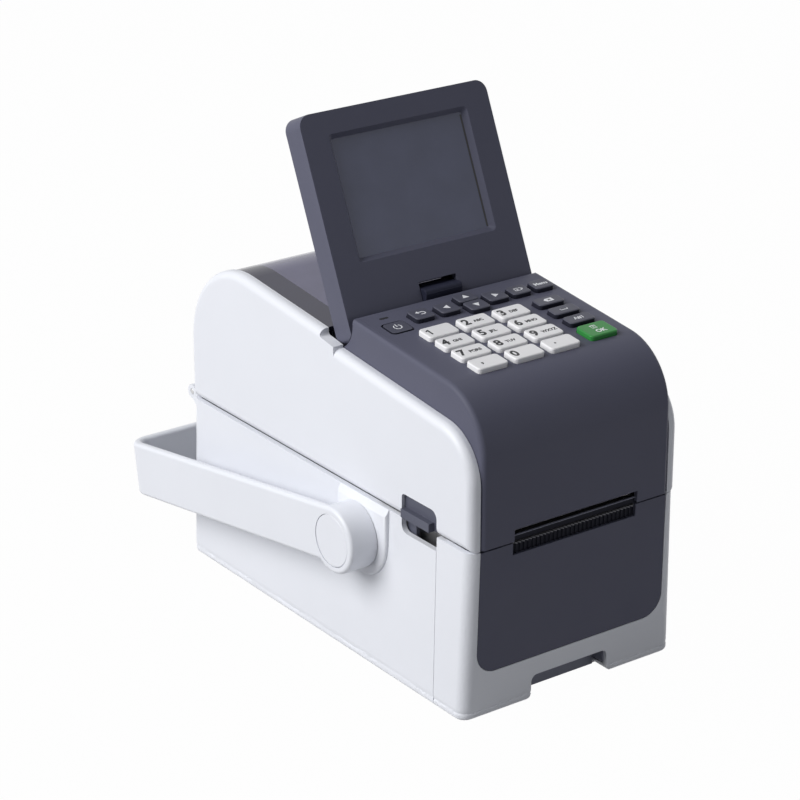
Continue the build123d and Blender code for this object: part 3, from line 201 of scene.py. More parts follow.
WHITE = linear(229, 231, 237)
DARK = linear(90, 91, 107)
MATERIALS = {
    "white_plastic": moulded("white_plastic", WHITE, 0.42, spread=0.012),
    "dark_plastic": moulded("dark_plastic", DARK, 0.45, specular=0.14),
    "black_plastic": moulded("black_plastic", linear(34, 34, 40), 0.4, specular=0.3),
    # painted shade: near-black without gloss, for the shade in the recess under the label slot and inside the slot
    "painted_shade_black": moulded("painted_shade_black", linear(26, 27, 36), 0.6, specular=0.08),
    # painted shade: the hinge block drawn darker than the cover's plastic, for the shade it sits in below the
    # display
    "hinge_painted_shade": moulded("hinge_painted_shade", linear(44, 46, 62), 0.5, specular=0.12),
    # painted shade: the notch's recess is white plastic, drawn in this grey for the shade inside it; the slot lip
    # has this grey as its own colour
    "grey_and_recess_shade": moulded("grey_and_recess_shade", linear(132, 134, 148), 0.5, specular=0.2),
    "latch_plastic": moulded("latch_plastic", linear(84, 86, 100), 0.45, specular=0.3),
    "gear_plastic": moulded("gear_plastic", linear(224, 220, 208), 0.35),
    "white_key": moulded("white_key", linear(243, 242, 243), 0.4, spread=0.012),
    # painted shade: near-black for the sides of the dark keys, where shade falls between the keys
    "key_side_painted_shade": moulded("key_side_painted_shade", linear(40, 41, 52), 0.55, specular=0.1),
    "dark_key": moulded("dark_key", linear(78, 79, 92), 0.42, specular=0.3),
    "green_key": moulded("green_key", linear(52, 138, 64), 0.35, specular=0.3),
    "rubber": moulded("rubber", linear(30, 30, 31), 0.75, grain=900, depth=0.00002),
    "smoked_gloss": glazing("smoked_gloss", linear(50, 49, 70), 0.0, 0.12),
    "smoked_clear": glazing("smoked_clear", linear(124, 122, 152), 0.35, 0.08),
    "screen_glass": glazing("screen_glass", linear(84, 88, 112), 0.0, 0.2),
    "steel": metal("steel", (0.62, 0.62, 0.63, 1)),
    "dark_steel": metal("dark_steel", (0.09, 0.09, 0.1, 1), 0.5),
    "aluminium": metal("aluminium", (0.7, 0.7, 0.71, 1), 0.3, (30, 1, 1)),
    "circuit": circuit_finish(),
    # black print on the keys and the lamp window; also the painted shade of the strip beside the display glass
    "ink_and_shade_black": moulded("ink_and_shade_black", linear(24, 24, 28), 0.5),
    "ink_white": moulded("ink_white", linear(238, 239, 242), 0.5, spread=0.01),
}

DARK_KEYS = ["key_" + name for name in (
    "power", "back", "left", "up", "down", "right", "feed", "menu", "erase", "space", "charset",
)]
WHITE_KEYS = ["key_" + name for name in (
    "1", "2", "3", "4", "5", "6", "7", "8", "9", "comma", "0", "point",
)]
KEY_SOFTENING = 0.35

# finish of each CAD node, and the width in millimetres of the small bevel on its sharp edges
FINISH = {
    "base_shell": ("white_plastic", 0.3),
    "front_frame": ("white_plastic", 0.3),
    "lid_shell": ("white_plastic", 0.3),
    "carry_handle": ("white_plastic", 0.4),
    "hub_caps": ("white_plastic", 0.3),
    "handle_brackets": ("white_plastic", 0.3),
    "control_cover": ("dark_plastic", 0.25),
    "front_panel": ("dark_plastic", 0.25),
    "display_bezel": ("dark_plastic", 0.3),
    "display_shell": ("dark_plastic", 0.3),
    "roll_bay": ("black_plastic", 0.0),
    "release_latch": ("latch_plastic", 0.25),
    "rear_sockets": ("black_plastic", 0.15),
    "lid_frame": ("black_plastic", 0.0),
    "rear_cover": ("smoked_gloss", 0.0),
    "roll_window": ("smoked_clear", 0.0),
    "display_lens": ("screen_glass", 0.0),
    "lcd_module": ("black_plastic", 0.0),
    "idler_gear": ("gear_plastic", 0.0),
    "guide_left": ("gear_plastic", 0.2),
    "guide_right": ("gear_plastic", 0.2),
    "guide_pinion": ("gear_plastic", 0.0),
    "chassis_plate_left": ("steel", 0.0),
    "chassis_plate_right": ("steel", 0.0),
    "tear_bar": ("dark_steel", 0.0),
    "platen_shaft": ("steel", 0.0),
    "motor_rotor": ("steel", 0.0),
    "stepper_motor": ("steel", 0.4),
    "pivot_pins": ("steel", 0.2),
    "head_spring": ("steel", 0.0),
    "print_head": ("aluminium", 0.2),
    "platen_roller": ("rubber", 0.0),
    "rubber_feet": ("rubber", 0.0),
    "circuit_boards": ("circuit", 0.0),
    "keypad_board": ("circuit", 0.0),
    "key_print": ("green_key", KEY_SOFTENING),
}
FINISH.update({name: ("dark_key", KEY_SOFTENING) for name in DARK_KEYS})
FINISH.update({name: ("white_key", KEY_SOFTENING) for name in WHITE_KEYS})
BODY_OF = {n: body for body, members in frame["record"]["behaviour"]["bodies"].items()
           for n in members}


# ---- drawing ----
def add_object(name, data):
    obj = bpy.data.objects.new(name, data)
    bpy.context.scene.collection.objects.link(obj)
    return obj


def mesh_from(build, name):
    mesh = bpy.data.meshes.new(name)
    build.to_mesh(mesh)
    build.free()
    return mesh


def evaluated(obj):
    """The mesh of an object with its modifiers worked out."""
    bpy.context.view_layer.update()
    graph = bpy.context.evaluated_depsgraph_get()
    return bpy.data.meshes.new_from_object(obj.evaluated_get(graph))


def flat_frame(origin, across, up):
    """The matrix that lays a drawing in X and Y on a plane."""
    out = across.cross(up)
    return Matrix.Translation(origin) @ Matrix((across, up, out)).transposed().to_4x4()


def add_solid(build, points, low, high):
    """Adds a solid with the outline, from low to high, all in millimetres."""
    base = [build.verts.new((x * MM, y * MM, low * MM)) for x, y in points]
    top = [build.verts.new((x * MM, y * MM, high * MM)) for x, y in points]
    build.faces.new(list(reversed(base)))
    build.faces.new(top)
    for k in range(len(points)):
        n = (k + 1) % len(points)
        build.faces.new((base[k], base[n], top[n], top[k]))


def prism(points, low, high, place):
    """A solid with the outline, from low to high along the normal of the plane it lies on."""
    build = bmesh.new()
    add_solid(build, points, low, high)
    bmesh.ops.transform(build, matrix=place, verts=build.verts)
    bmesh.ops.recalc_face_normals(build, faces=build.faces)
    return add_object("prism", mesh_from(build, "prism"))


def plate(name, outlines, thickness=0.02):
    """Thin flat shapes from closed outlines in millimetres."""
    build = bmesh.new()
    for points in outlines:
        add_solid(build, points, 0, thickness)
    return add_object(name, mesh_from(build, name))


def rectangle(x0, x1, y0, y1):
    return [(x0, y0), (x1, y0), (x1, y1), (x0, y1)]


def arc(cx, cy, r, start, end, steps=24):
    """Points of an arc, angles in degrees."""
    points = []
    for k in range(steps + 1):
        a = math.radians(start + (end - start) * k / steps)
        points.append((cx + r * math.cos(a), cy + r * math.sin(a)))
    return points


def rounded(half_width, half_height, r, steps=6):
    """A rectangle about the origin with round corners."""
    x, y = half_width - r, half_height - r
    points = []
    for cx, cy, start in ((x, y, 0), (-x, y, 90), (-x, -y, 180), (x, -y, 270)):
        points += arc(cx, cy, r, start, start + 90, steps)
    return points


def stroke(points, width):
    """A line of even width through the points, as one closed outline."""
    left = []
    right = []
    for k, point in enumerate(points):
        before = Vector(points[max(k - 1, 0)])
        after = Vector(points[min(k + 1, len(points) - 1)])
        along = (after - before).normalized()
        side = Vector((-along.y, along.x)) * width / 2
        left.append(tuple(Vector(point) + side))
        right.append(tuple(Vector(point) - side))
    return left + list(reversed(right))


def oriented(outlines):
    """Outlines turned anticlockwise, so that their faces look out of the plane."""
    result = []
    for points in outlines:
        area = 0
        for k, (x, y) in enumerate(points):
            nx, ny = points[(k + 1) % len(points)]
            area += x * ny - nx * y
        result.append(points if area > 0 else list(reversed(points)))
    return result


# ---- directions and places on the part; sizes below are in millimetres ----
def joint(field, value):
    return next(j for j in frame["joints"] if j.get(field) == value)


X, Y, Z = Vector((1, 0, 0)), Vector((0, 1, 0)), Vector((0, 0, 1))
OUT = -Vector(joint("child", "key_1")["axis"]).normalized()
UP_PANEL = OUT.cross(X)
KEY_HEIGHT = 2.3
TOP_FACE = 0.02                      # points this near a key's highest one are its top face
COVER_LOW = Vector(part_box("control_cover")[0]) / MM
SEAM_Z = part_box("front_panel")[1][2] / MM
FRONT_PLANE = flat_frame(Vector((0, COVER_LOW.y * MM, 0)), X, Z)
DISPLAY_LEAN = math.radians(24)
DISPLAY_UP = Vector((0, math.sin(DISPLAY_LEAN), math.cos(DISPLAY_LEAN)))
HINGE = Vector(joint("name", "display_tilt")["pos_m"])
DISPLAY_PLANE = flat_frame(HINGE, X, DISPLAY_UP)
HINGE_SIDE = flat_frame(HINGE, Y, Z)


def top_of(node):
    """The middle of a key's top face, the flat face that lies furthest out."""
    points = [v.co for v in frame["nodes"][node].data.vertices]
    reach = max(p.dot(OUT) for p in points)
    top = [p for p in points if p.dot(OUT) > reach - TOP_FACE * MM]
    low = Vector([min(p[k] for p in top) for k in range(3)])
    high = Vector([max(p[k] for p in top) for k in range(3)])
    return (low + high) / 2


def panel_point(node):
    """The point of the key panel under the middle of a key."""
    return top_of(node) - OUT * KEY_HEIGHT * MM


# ---- forms cut into the skins ----
CUT_BEYOND = 2                       # a seam's cutter runs on past the edge that it trims
SPLIT_GAP = 0.5                      # between lid and base
SEAM_LOW, SEAM_HIGH = 0.45, 0.3      # taken off the panel's and the cover's edge
SEAM_HALF, SEAM_BACK, SEAM_FRONT = 54, -6, 4
NOTCH_HALF, NOTCH_TOP, NOTCH_DEEP = 23.5, 11.6, 14.5
NOTCH_R, NOTCH_FLARE = 3, 3.2
NOTCH_BELOW, NOTCH_FRONT = 4, 9
POWER_GROOVE = (6.4, 5.6, 2.4)       # half width, half height and corner radius
POWER_GROOVE_DEPTH, POWER_CUT_TOP = 1.2, 4
FOOT_Z = 1.6


def seam_cut(low, high):
    return prism(rectangle(-SEAM_HALF, SEAM_HALF, low, high), SEAM_BACK, SEAM_FRONT, FRONT_PLANE)


def notch_cut():
    """The cutter for the notch, which flares out at the underside."""
    r = NOTCH_FLARE
    right = arc(NOTCH_HALF + r, FOOT_Z + r, r, 270, 180, 6)
    right += arc(NOTCH_HALF - NOTCH_R, NOTCH_TOP - NOTCH_R, NOTCH_R, 0, 90, 6)
    left = [(-x, z) for x, z in reversed(right)]
    low = [(-NOTCH_HALF - r, FOOT_Z - NOTCH_BELOW), (NOTCH_HALF + r, FOOT_Z - NOTCH_BELOW)]
    return prism(right + left + low, -NOTCH_DEEP, NOTCH_FRONT, FRONT_PLANE)


def power_cut():
    place = flat_frame(panel_point("key_power"), X, UP_PANEL)
    return prism(rounded(*POWER_GROOVE), -POWER_GROOVE_DEPTH, POWER_CUT_TOP, place)


CUTS = {
    "front_panel": lambda: [seam_cut(SEAM_Z - SEAM_LOW, SEAM_Z + CUT_BEYOND)],
    "control_cover": lambda: [
        seam_cut(SEAM_Z - CUT_BEYOND, SEAM_Z + SPLIT_GAP + SEAM_HIGH), power_cut(),
    ],
    "front_frame": lambda: [notch_cut()],
}


# ---- how far the skins stand off the solids ----
FOOT_DROP, FOOT_TOP = 1.3, 7         # the lowest part, up to this height, is drawn downwards
FOOT_R, SKIN_FOOT_R = 4.5, 1.6
FOOT_BAND, FOOT_NEAR = 2.5, 0.5      # only points this low and this near the rounding move
SIDE_SPREAD, FRONT_SPREAD = 1.0, 1.0
SPREAD_HALF = 60                     # half width that spreads by SIDE_SPREAD
SPREAD_FROM, SPREAD_OVER = -60, 30   # where the front's spread begins, and its run-in
BASE_HALF, BASE_CORNER_R = 60.05, 5.5
COVER_PROUD, FRONT_DRAFT = 0.9, 2.8
BASE_FRONT = COVER_LOW.y + COVER_PROUD + FRONT_DRAFT
BASE_REAR = (Vector(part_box("base_shell")[1]) / MM).y
NOTCH_SHRINK, NOTCH_BAND = 1.8, 14
NOTCH_SPAN = (12, 40, 8, 13)         # from the middle: from, to, run-in and run-out
PANEL_LIFT = 1.5
PANEL_SPAN = (8, 70, 9, 35)          # the same for the height
BRACKET_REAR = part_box("handle_brackets")[1][1] / MM
BRACKET_LENGTH, BRACKET_DROP, BRACKET_MIDDLE = 0.92, 0.8, 60
BLOCK_HALF, BLOCK_R = 10.4, 5.3
OPENING_TOP, OPENING_SIDE, OPENING_NEAR = 8.5, 0.4, 0.1
BEZEL_GAP, SHELL_GAP = 0.6, 0.15
POWER_HEIGHT = 0.35                  # the power key's top above the panel


def foot_inset(height, radius):
    """How far a rounded foot lies inside the wall at a height above the underside."""
    h = min(max(height, 0.0), radius)
    return radius - math.sqrt(radius ** 2 - (radius - h) ** 2)


def sharper_foot(p):
    """Moves the rounding under the base outwards to the smaller radius."""
    h = p.z - FOOT_Z
    if h > FOOT_BAND:
        return p
    half = Vector((BASE_HALF, 0.5 * (BASE_REAR - BASE_FRONT)))
    middle = Vector((0, 0.5 * (BASE_REAR + BASE_FRONT)))
    side = Vector((math.copysign(1, p.x), math.copysign(1, p.y - middle.y)))
    q = Vector((abs(p.x), abs(p.y - middle.y))) - (half - Vector((BASE_CORNER_R, BASE_CORNER_R)))
    if q.x > 0 and q.y > 0:
        away = q.normalized()
        depth = BASE_CORNER_R - q.length
    else:
        away = Vector((1, 0)) if q.x > q.y else Vector((0, 1))
        depth = BASE_CORNER_R - max(q.x, q.y)
    inset = foot_inset(h, FOOT_R)
    if abs(depth - inset) > FOOT_NEAR:
        return p
    shift = inset - foot_inset(h, SKIN_FOOT_R)
    return p + Vector((away.x * side.x, away.y * side.y, 0)) * shift


def base_skin(p):
    """A point of the base's surface, in millimetres, where the visible skin has it."""
    p = sharper_foot(p)
    low = min(max((SEAM_Z - p.z) / (SEAM_Z - FOOT_Z), 0), 1)
    p.x *= 1 + SIDE_SPREAD / SPREAD_HALF * low
    p.y -= FRONT_SPREAD * low * min(max((SPREAD_FROM - p.y) / SPREAD_OVER, 0), 1)
    if p.z < FOOT_TOP:
        p.z -= FOOT_DROP * (FOOT_TOP - p.z) / (FOOT_TOP - FOOT_Z)
    return p


def hump(value, low, high, rise, fall):
    """1 between low and high, running down to 0 at each over the lengths rise and fall."""
    return min((value - low) / rise, 1, (high - value) / fall) if low < value < high else 0


def front_skin(p):
    """The same for the front, with a narrower notch and the dark panel's lower edge higher."""
    if p.z < NOTCH_BAND:
        p.x -= math.copysign(NOTCH_SHRINK * hump(abs(p.x), *NOTCH_SPAN), p.x)
    p.z += PANEL_LIFT * hump(p.z, *PANEL_SPAN)
    return base_skin(p)


def lowered_opening(gap):
    """Brings the top of the opening for the hinge block down to a gap above the block."""
    def move(p):
        rise = (p - HINGE / MM).dot(DISPLAY_UP)
        if abs(p.x) < BLOCK_HALF + OPENING_SIDE and abs(rise - OPENING_TOP) < OPENING_NEAR:
            p -= DISPLAY_UP * (rise - BLOCK_R - gap)
        return p

    return move


def bracket_skin(p):
    """The handle bracket's plate, a little shorter from front to rear and deeper than its solid."""
    p.y = BRACKET_REAR + (p.y - BRACKET_REAR) * BRACKET_LENGTH
    if p.z < BRACKET_MIDDLE:
        p.z -= BRACKET_DROP
    return p


def flush_key(p):
    """The power key's top, brought down almost flush with the panel."""
    plane = panel_point("key_power").dot(OUT) / MM
    height = p.dot(OUT) - plane
    return p - OUT * (height - height * POWER_HEIGHT / KEY_HEIGHT) if height > 0 else p


MOVES = {
    "display_bezel": lowered_opening(BEZEL_GAP),
    "display_shell": lowered_opening(SHELL_GAP),
    "handle_brackets": bracket_skin,
    "base_shell": base_skin,
    "front_frame": front_skin,
    "front_panel": front_skin,
    "key_power": flush_key,
}


# ---- dressing the CAD nodes ----
SMOOTH_BELOW = 32                    # degrees between faces that shade as one surface
BEVEL_ABOVE = 40                     # degrees at an edge that gets a bevel
MERGE_WITHIN = 0.000002              # metres
FLAT_WITHIN = 0.3                    # degrees between faces that are one flat face
TOP_LIMIT = 0.35                     # faces that look less outwards than this are a key's side, which gets painted shade


def smooth_by_angle(mesh):
    for polygon in mesh.polygons:
        polygon.use_smooth = True
    mesh.set_sharp_from_angle(angle=math.radians(SMOOTH_BELOW))


def add_bevel(piece, width):
    modifier = piece.modifiers.new("edge", "BEVEL")
    modifier.width = width * MM
    modifier.segments = 2
    modifier.limit_method = "ANGLE"
    return modifier


def joined(surface):
    """A copy of a mesh with its doubled points merged and its flat faces joined."""
    build = bmesh.new()
    build.from_mesh(surface)
    bmesh.ops.remove_doubles(build, verts=build.verts, dist=MERGE_WITHIN)
    bmesh.ops.dissolve_limit(
        build, angle_limit=math.radians(FLAT_WITHIN), verts=build.verts, edges=build.edges,
        delimit={"NORMAL"},
    )
    return mesh_from(build, "skin")


def carve(piece, node):
    """Cuts the forms that the node's skin has and its solid lacks."""
    tools = CUTS[node]()
    for tool in tools:
        modifier = piece.modifiers.new("form", "BOOLEAN")
        modifier.operation = "DIFFERENCE"
        modifier.object = tool
        modifier.solver = "EXACT"
    piece.data = evaluated(piece)
    piece.modifiers.clear()
    for tool in tools:
        bpy.data.objects.remove(tool)


# painted shade: the sides of the dark keys get a near-black material, for the shade between the keys
def paint_key_side_shade(mesh):
    mesh.materials.append(MATERIALS["key_side_painted_shade"])
    for polygon in mesh.polygons:
        polygon.material_index = 1 if polygon.normal.dot(OUT) < TOP_LIMIT else 0


def dressed(node, material, bevel):
    """A copy of a CAD node's surface with its flat faces joined and its sharp edges broken."""
    piece = add_object(node + "_skin", joined(frame["nodes"][node].data))
    if node in CUTS:
        carve(piece, node)
        piece.data = joined(piece.data)
    mesh = piece.data
    mesh.materials.clear()
    mesh.materials.append(MATERIALS[material])
    if node in MOVES:
        for vertex in mesh.vertices:
            vertex.co = MOVES[node](vertex.co / MM) * MM
    add_bevel(piece, bevel).angle_limit = math.radians(BEVEL_ABOVE)
    smooth_by_angle(mesh)
    piece.modifiers.new("flat_faces", "WEIGHTED_NORMAL").keep_sharp = True
    piece.data = evaluated(piece)
    piece.modifiers.clear()
    if node in DARK_KEYS:
        paint_key_side_shade(piece.data)
    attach(piece, BODY_OF[node])
    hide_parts(node)


def dress_all():
    for node, (material, bevel) in FINISH.items():
        if bevel:
            dressed(node, material, bevel)
        else:
            mesh = frame["nodes"][node].data
            mesh.materials.clear()
            mesh.materials.append(MATERIALS[material])


dress_all()


# ---- legends ----
INK_LIFT = 0.00001                   # metres
INK_HALF = 0.00001                   # metres
CAPITAL = 0.7                        # height of a capital, as a share of the font's size
ONE = [
    (-0.3, -2.3), (0.55, -2.3), (0.55, 2.3), (-0.1, 2.3), (-1.3, 1.5), (-1.3, 0.7), (-0.3, 1.25),
]
LETTERS = {
    "2": "ABC", "3": "DEF", "4": "GHI", "5": "JKL",
    "6": "MNO", "7": "PQRS", "8": "TUV", "9": "WXYZ",
}


def laid(piece, place, body, material):
    piece.data.transform(place)
    piece.data.materials.clear()
    piece.data.materials.append(MATERIALS[material])
    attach(piece, body)


def lettering(name, text, height, bold=0.0, align="CENTER"):
    """Printed letters as a thin solid; height is that of a capital, in millimetres."""
    curve = bpy.data.curves.new(name, "FONT")
    curve.body = text
    curve.size = height * MM / CAPITAL
    curve.offset = bold * MM
    curve.extrude = INK_HALF
    curve.align_x = align
    curve.align_y = "CENTER"
    curve.resolution_u = 4
    text_object = add_object(name + "_text", curve)
    mesh = evaluated(text_object)
    bpy.data.objects.remove(text_object)
    return add_object(name, mesh)


def print_on_key(node, piece, across, up, material):
    top = panel_point(node) + OUT * POWER_HEIGHT * MM if node == "key_power" else top_of(node)
    middle = top + X * across * MM + UP_PANEL * up * MM + OUT * INK_LIFT
    laid(piece, flat_frame(middle, X, UP_PANEL), node, material)


def number_keys():
    for digit in "1234567890":
        node = "key_" + digit
        if digit == "1":
            piece = plate("digit_1", [ONE])
        else:
            piece = lettering("digit_" + digit, digit, 4.9, bold=0.26)
        print_on_key(node, piece, -5.2, 0.0, "ink_and_shade_black")
        if digit in LETTERS:
            piece = lettering("letters_" + digit, LETTERS[digit], 1.9, bold=0.14, align="LEFT")
            print_on_key(node, piece, -1.4, -0.5, "ink_and_shade_black")
    for name, mark in (("comma", ","), ("point", ".")):
        piece = lettering(name + "_mark", mark, 4.2, bold=0.2)
        print_on_key("key_" + name, piece, -3.2, 1.2, "ink_and_shade_black")


def arrow(direction, reach=3.3 * 0.62):
    """A triangle that points along the direction, in degrees from across."""
    points = []
    for turn in (0, 120, 240):
        a = math.radians(direction + turn)
        points.append((reach * math.cos(a), reach * math.sin(a)))
    return [points]


SYMBOLS = {
    "key_power": [
        stroke(arc(0, 0, 1.9, 125, 415, 36), 0.5),
        stroke([(0, 0.2), (0, 2.6)], 0.5),
    ],
    "key_back": [
        stroke(
            [(-1.0, 1.1), (1.2, 1.1)] + arc(1.2, 0.05, 1.05, 90, -90, 14) + [(-0.4, -1.0)], 0.55,
        ),
        [(-2.5, 1.1), (-0.8, 2.2), (-0.8, 0.0)],
    ],
    "key_left": arrow(180),
    "key_up": arrow(90),
    "key_down": arrow(270),
    "key_right": arrow(0),
    "key_feed": [
        stroke([(-1.9, -1.2), (-1.9, 1.2), (0.4, 1.2)], 0.4),
        stroke([(-1.9, -1.2), (0.4, -1.2)], 0.4),
        stroke([(-1.0, 0.35), (0.1, 0.35)], 0.35),
        stroke([(-1.0, -0.35), (0.1, -0.35)], 0.35),
        stroke(arc(1.0, 0, 1.05, -110, 110, 14), 0.4),
        [(2.75, 0.4), (1.35, 0.4), (2.05, -0.9)],
    ],
    "key_erase": [[(-2.7, 0), (-1.3, 1.45), (2.5, 1.45), (2.5, -1.45), (-1.3, -1.45)]],
    "key_space": [stroke([(-1.9, 0.5), (-1.9, -0.6), (1.9, -0.6), (1.9, 0.5)], 0.42)],
    "key_print": [
        [(-2.2, 3.4), (0.9, 3.4), (0.9, 2.9), (-2.2, 2.9)],
        stroke([(-1.9, 2.9), (-1.9, 0.6), (0.6, 0.6), (0.6, 2.9)], 0.3),
        stroke([(-1.2, 2.2), (0.0, 2.2)], 0.3),
        stroke([(-1.2, 1.4), (0.0, 1.4)], 0.3),
    ],
}
ERASE_CROSS = [
    stroke([(-0.3, -0.7), (1.1, 0.7)], 0.38),
    stroke([(-0.3, 0.7), (1.1, -0.7)], 0.38),
]


def symbol_keys():
    for node, outlines in SYMBOLS.items():
        piece = plate("symbol_" + node[4:], oriented(outlines))
        print_on_key(node, piece, 0, 0, "ink_white")
    cross = plate("symbol_erase_cross", oriented(ERASE_CROSS), 0.04)
    print_on_key("key_erase", cross, 0, 0, "ink_and_shade_black")
    menu = lettering("word_menu", "Menu", 2.3, bold=0.1)
    print_on_key("key_menu", menu, 0, 0, "ink_white")
    charset = lettering("word_charset", "A#1", 2.3, bold=0.07)
    print_on_key("key_charset", charset, 0, 0, "ink_white")
    ok = lettering("word_ok", "OK", 2.6, bold=0.12)
    print_on_key("key_print", ok, 0.4, -2.3, "ink_white")


number_keys()
symbol_keys()


# ---- pieces of their own ----
# at the label slot: heights from the seam, depths from the front plane
GRIP_HALF, GRIP_BELOW, GRIP_ABOVE = 34.9, 6.1, 0.7
GRIP_BACK, GRIP_THICK = -2.9, 0.25
RIBS, RIB_FIRST, RIB_PITCH, RIB_HALF = 28, -32.4, 2.4, 0.35
RIB_ROOT, RIB_TIP = 0.2, 0.7
MOUTH_HALF, MOUTH_LOW, LIP_TOP, LIP_HEIGHT = 34.8, 0.2, 3.4, 0.45
MOUTH_BACK, MOUTH_FRONT = -2.4, -1.9
LIP_BACK, LIP_FRONT = -1.95, -1.0
# in the notch
RECESS_WALL, RECESS_FRONT = 1.2, -5.0
RECESS_FLOOR, RECESS_SIDE_LOW, RECESS_OVERLAP = 0.45, 4.6, 0.4
RECESS_ASIDE, RECESS_ABOVE, RECESS_SHORT = 0.2, 0.9, 0.1
# the hinge block's outline across the pin, to the rear and up from its axis
BLOCK_OUTLINE = [(-12.0, -6.0), (-12.0, 5.0)] + arc(-10.2, 5.0, 1.8, 180, 80, 6)
BLOCK_OUTLINE += arc(0, 0, BLOCK_R, 85, -60, 12) + [(2.0, -12.0), (-6.0, -12.0)]
# the lamp window beyond the power key, and the dark line beside the glass: a black strip painted for the shade in
# the gap between glass and bezel
LAMP_WINDOW = (2.4, 0.8, 0.7)        # half width, half height and corner radius
LAMP_BEYOND = 10.6
LINE_OUTER, LINE_INNER, LINE_LOW, LINE_HIGH = 1.6, 2.6, 23.4, 76.8
LINE_LIFT = 7.12


def own(name, tools, body, material, bevel):
    """One piece from several solids, with its sharp edges broken."""
    build = bmesh.new()
    for tool in tools:
        build.from_mesh(tool.data)
        bpy.data.objects.remove(tool)
    mesh = mesh_from(build, name)
    mesh.materials.append(MATERIALS[material])
    smooth_by_angle(mesh)
    piece = add_object(name, mesh)
    add_bevel(piece, bevel)
    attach(piece, body)
    return piece


def slot_pieces():
    """The ribbed grip under the label slot and a plate in the slot's opening, drawn near-black as painted shade,
    and the lip that the label tears on.
    """
    low, high = SEAM_Z - GRIP_BELOW, SEAM_Z - GRIP_ABOVE
    outline = rectangle(-GRIP_HALF, GRIP_HALF, low, high)
    tools = [prism(outline, GRIP_BACK, GRIP_BACK + GRIP_THICK, FRONT_PLANE)]
    for k in range(RIBS):
        x = RIB_FIRST + RIB_PITCH * k
        outline = rectangle(x - RIB_HALF, x + RIB_HALF, low, high)
        tools.append(prism(outline, GRIP_BACK + RIB_ROOT, GRIP_BACK + RIB_TIP, FRONT_PLANE))
    own("slot_grip", tools, "base", "painted_shade_black", 0.1)
    top = SEAM_Z + LIP_TOP
    # painted shade: a near-black plate just behind the slot's opening, where the inside of the slot lies in shade
    outline = rectangle(-MOUTH_HALF, MOUTH_HALF, SEAM_Z + MOUTH_LOW, top)
    shade_plate = prism(outline, MOUTH_BACK, MOUTH_FRONT, FRONT_PLANE)
    own("slot_mouth_shade", [shade_plate], "base", "painted_shade_black", 0.1)
    outline = rectangle(-MOUTH_HALF, MOUTH_HALF, top - LIP_HEIGHT, top)
    lip = prism(outline, LIP_BACK, LIP_FRONT, FRONT_PLANE)
    own("slot_lip", [lip], "base", "grey_and_recess_shade", 0.12)


def notch_pieces():
    """The moulded recess in the front edge of the base, white plastic drawn grey as painted shade."""
    half = NOTCH_HALF - NOTCH_SHRINK + RECESS_ASIDE
    outer = half + RECESS_WALL
    top, deep = NOTCH_TOP + RECESS_ABOVE, NOTCH_DEEP - RECESS_SHORT
    ceiling = rectangle(-half - RECESS_WALL, outer, top, top + RECESS_WALL)
    rear = rectangle(-half, half, RECESS_FLOOR, top)
    right = rectangle(half - RECESS_OVERLAP, outer, RECESS_SIDE_LOW, top)
    left = rectangle(-half - RECESS_WALL, -half, RECESS_SIDE_LOW, top)
    tools = [
        prism(ceiling, -deep, RECESS_FRONT, FRONT_PLANE),
        prism(rear, 1 - deep, 2 - deep, FRONT_PLANE),
        prism(right, -deep, RECESS_FRONT, FRONT_PLANE),
        prism(left, -deep, RECESS_FRONT, FRONT_PLANE),
    ]
    own("notch_recess", tools, "base", "grey_and_recess_shade", 0.3)


def hinge_block_piece():
    """The block that holds the display's pin, with the nose that shows before the display, drawn darker than the
    cover as painted shade.
    """
    tools = [prism(BLOCK_OUTLINE, -BLOCK_HALF, BLOCK_HALF, HINGE_SIDE)]
    piece = own("display_hinge_block_skin", tools, "lid", "hinge_painted_shade", 0.5)
    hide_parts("display_hinge_block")


def small_marks():
    window = plate("status_lens", [rounded(*LAMP_WINDOW)])
    middle = panel_point("key_power") + UP_PANEL * LAMP_BEYOND * MM + OUT * INK_LIFT
    laid(window, flat_frame(middle, X, UP_PANEL), "lid", "ink_and_shade_black")
    # painted shade: a black strip along the glass's right edge, for the shade in the gap beside the glass
    glass_half = Vector(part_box("display_lens")[1]).x / MM
    outline = rectangle(glass_half - LINE_INNER, glass_half - LINE_OUTER, LINE_LOW, LINE_HIGH)
    place = DISPLAY_PLANE @ Matrix.Translation((0, 0, LINE_LIFT * MM))
    laid(plate("lens_gap_shade", [outline]), place, "display", "ink_and_shade_black")


slot_pieces()
notch_pieces()
hinge_block_piece()
small_marks()


# ---- stage ----
SEEN_RAYS = ("Is Camera Ray", "Is Glossy Ray", "Is Transmission Ray")
FLOOR_GLOW = 0.985
FLOOR_RADIUS = 6.0
AIM = Vector((0, 0, 0.1))


def math_node(tree, operation, first, second):
    """A maths node's output; second is an output to join or a plain number."""
    node = tree.nodes.new("ShaderNodeMath")
    node.operation = operation
    tree.links.new(first, node.inputs[0])
    if isinstance(second, float):
        node.inputs[1].default_value = second
    else:
        tree.links.new(second, node.inputs[1])
    return node.outputs[0]


def seen(tree):
    """1 where the camera sees a thing itself, or through glass or in gloss, and otherwise 0."""
    rays = tree.nodes.new("ShaderNodeLightPath")
    total = rays.outputs[SEEN_RAYS[0]]
    for ray in SEEN_RAYS[1:]:
        total = math_node(tree, "MAXIMUM", total, rays.outputs[ray])
    return total


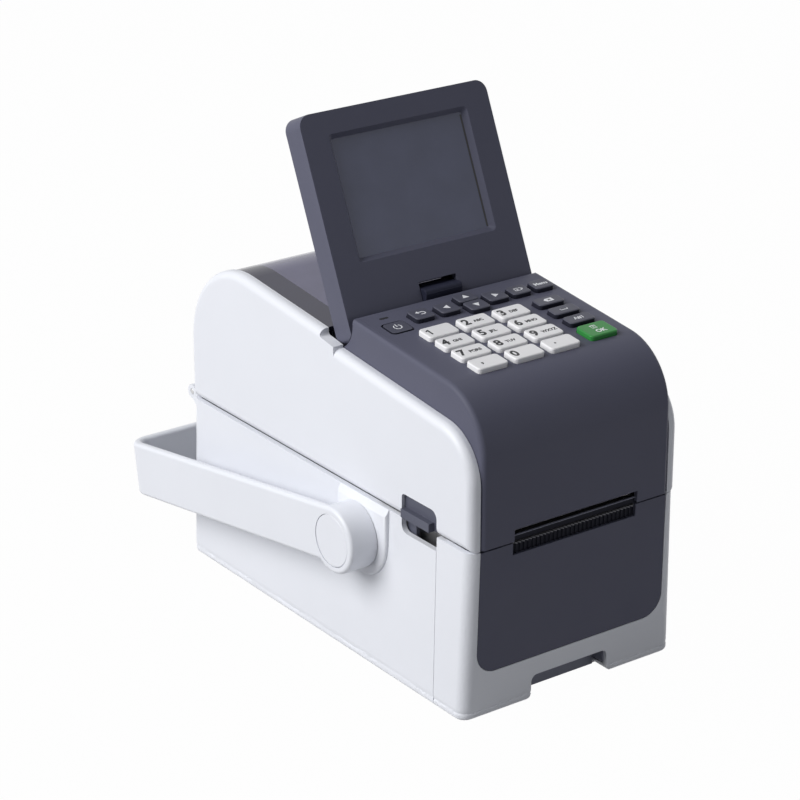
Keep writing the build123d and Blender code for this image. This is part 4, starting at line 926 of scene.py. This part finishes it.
def blend(tree, factor, first, second, target):
    """Joins a mix of two shaders to the tree's output."""
    mix = tree.nodes.new("ShaderNodeMixShader")
    tree.links.new(factor, mix.inputs[0])
    tree.links.new(first.outputs[0], mix.inputs[1])
    tree.links.new(second.outputs[0], mix.inputs[2])
    tree.links.new(mix.outputs[0], tree.nodes[target].inputs["Surface"])


def pale(name):
    """A plain pale surface that shows white to the camera, glass and gloss."""
    nodes = Nodes(name)
    nodes.fix("Base Color", (0.36, 0.36, 0.37, 1))
    nodes.fix("Roughness", 0.9)
    nodes.fix("Specular IOR Level", 0.0)
    glow = nodes.add("ShaderNodeEmission", Strength=1.0)
    share = math_node(nodes.tree, "MULTIPLY", seen(nodes.tree), FLOOR_GLOW)
    blend(nodes.tree, share, nodes.shader, glow, "Material Output")
    return nodes.material


def make_floor():
    build = bmesh.new()
    bmesh.ops.create_circle(build, cap_ends=True, segments=96, radius=FLOOR_RADIUS)
    mesh = mesh_from(build, "floor")
    mesh.materials.append(pale("floor_white"))
    add_object("floor", mesh)


def make_world():
    world = bpy.data.worlds.new("studio")
    bpy.context.scene.world = world
    world.use_nodes = True
    tree = world.node_tree
    soft = tree.nodes["Background"]
    soft.inputs["Color"].default_value = (0.82, 0.88, 1.0, 1)
    soft.inputs["Strength"].default_value = 0.10
    white = tree.nodes.new("ShaderNodeBackground")
    white.inputs["Strength"].default_value = 1.0
    blend(tree, seen(tree), soft, white, "World Output")


def softbox(name, direction, distance, width, level):
    """A square lamp that gives a surface facing it that share of its written colour."""
    data = bpy.data.lights.new(name, "AREA")
    data.shape = "SQUARE"
    data.size = width
    data.energy = level * math.pi ** 2 * distance ** 2
    lamp = add_object(name, data)
    towards = Vector(direction).normalized()
    lamp.location = towards * distance + AIM
    lamp.rotation_euler = towards.to_track_quat("Z", "Y").to_euler()


make_floor()
make_world()
softbox("key_lamp", (-0.80, 0.16, 0.56), distance=2.2, width=1.6, level=1.12)
softbox("top_lamp", (0.0, 0.0, 1.0), distance=2.2, width=1.2, level=0.08)
softbox("front_fill", (0.25, -1.0, 0.08), distance=2.4, width=1.6, level=0.12)
softbox("right_fill", (1.0, 0.35, 0.25), distance=2.4, width=1.6, level=0.14)
bpy.context.scene.view_settings.view_transform = "Standard"
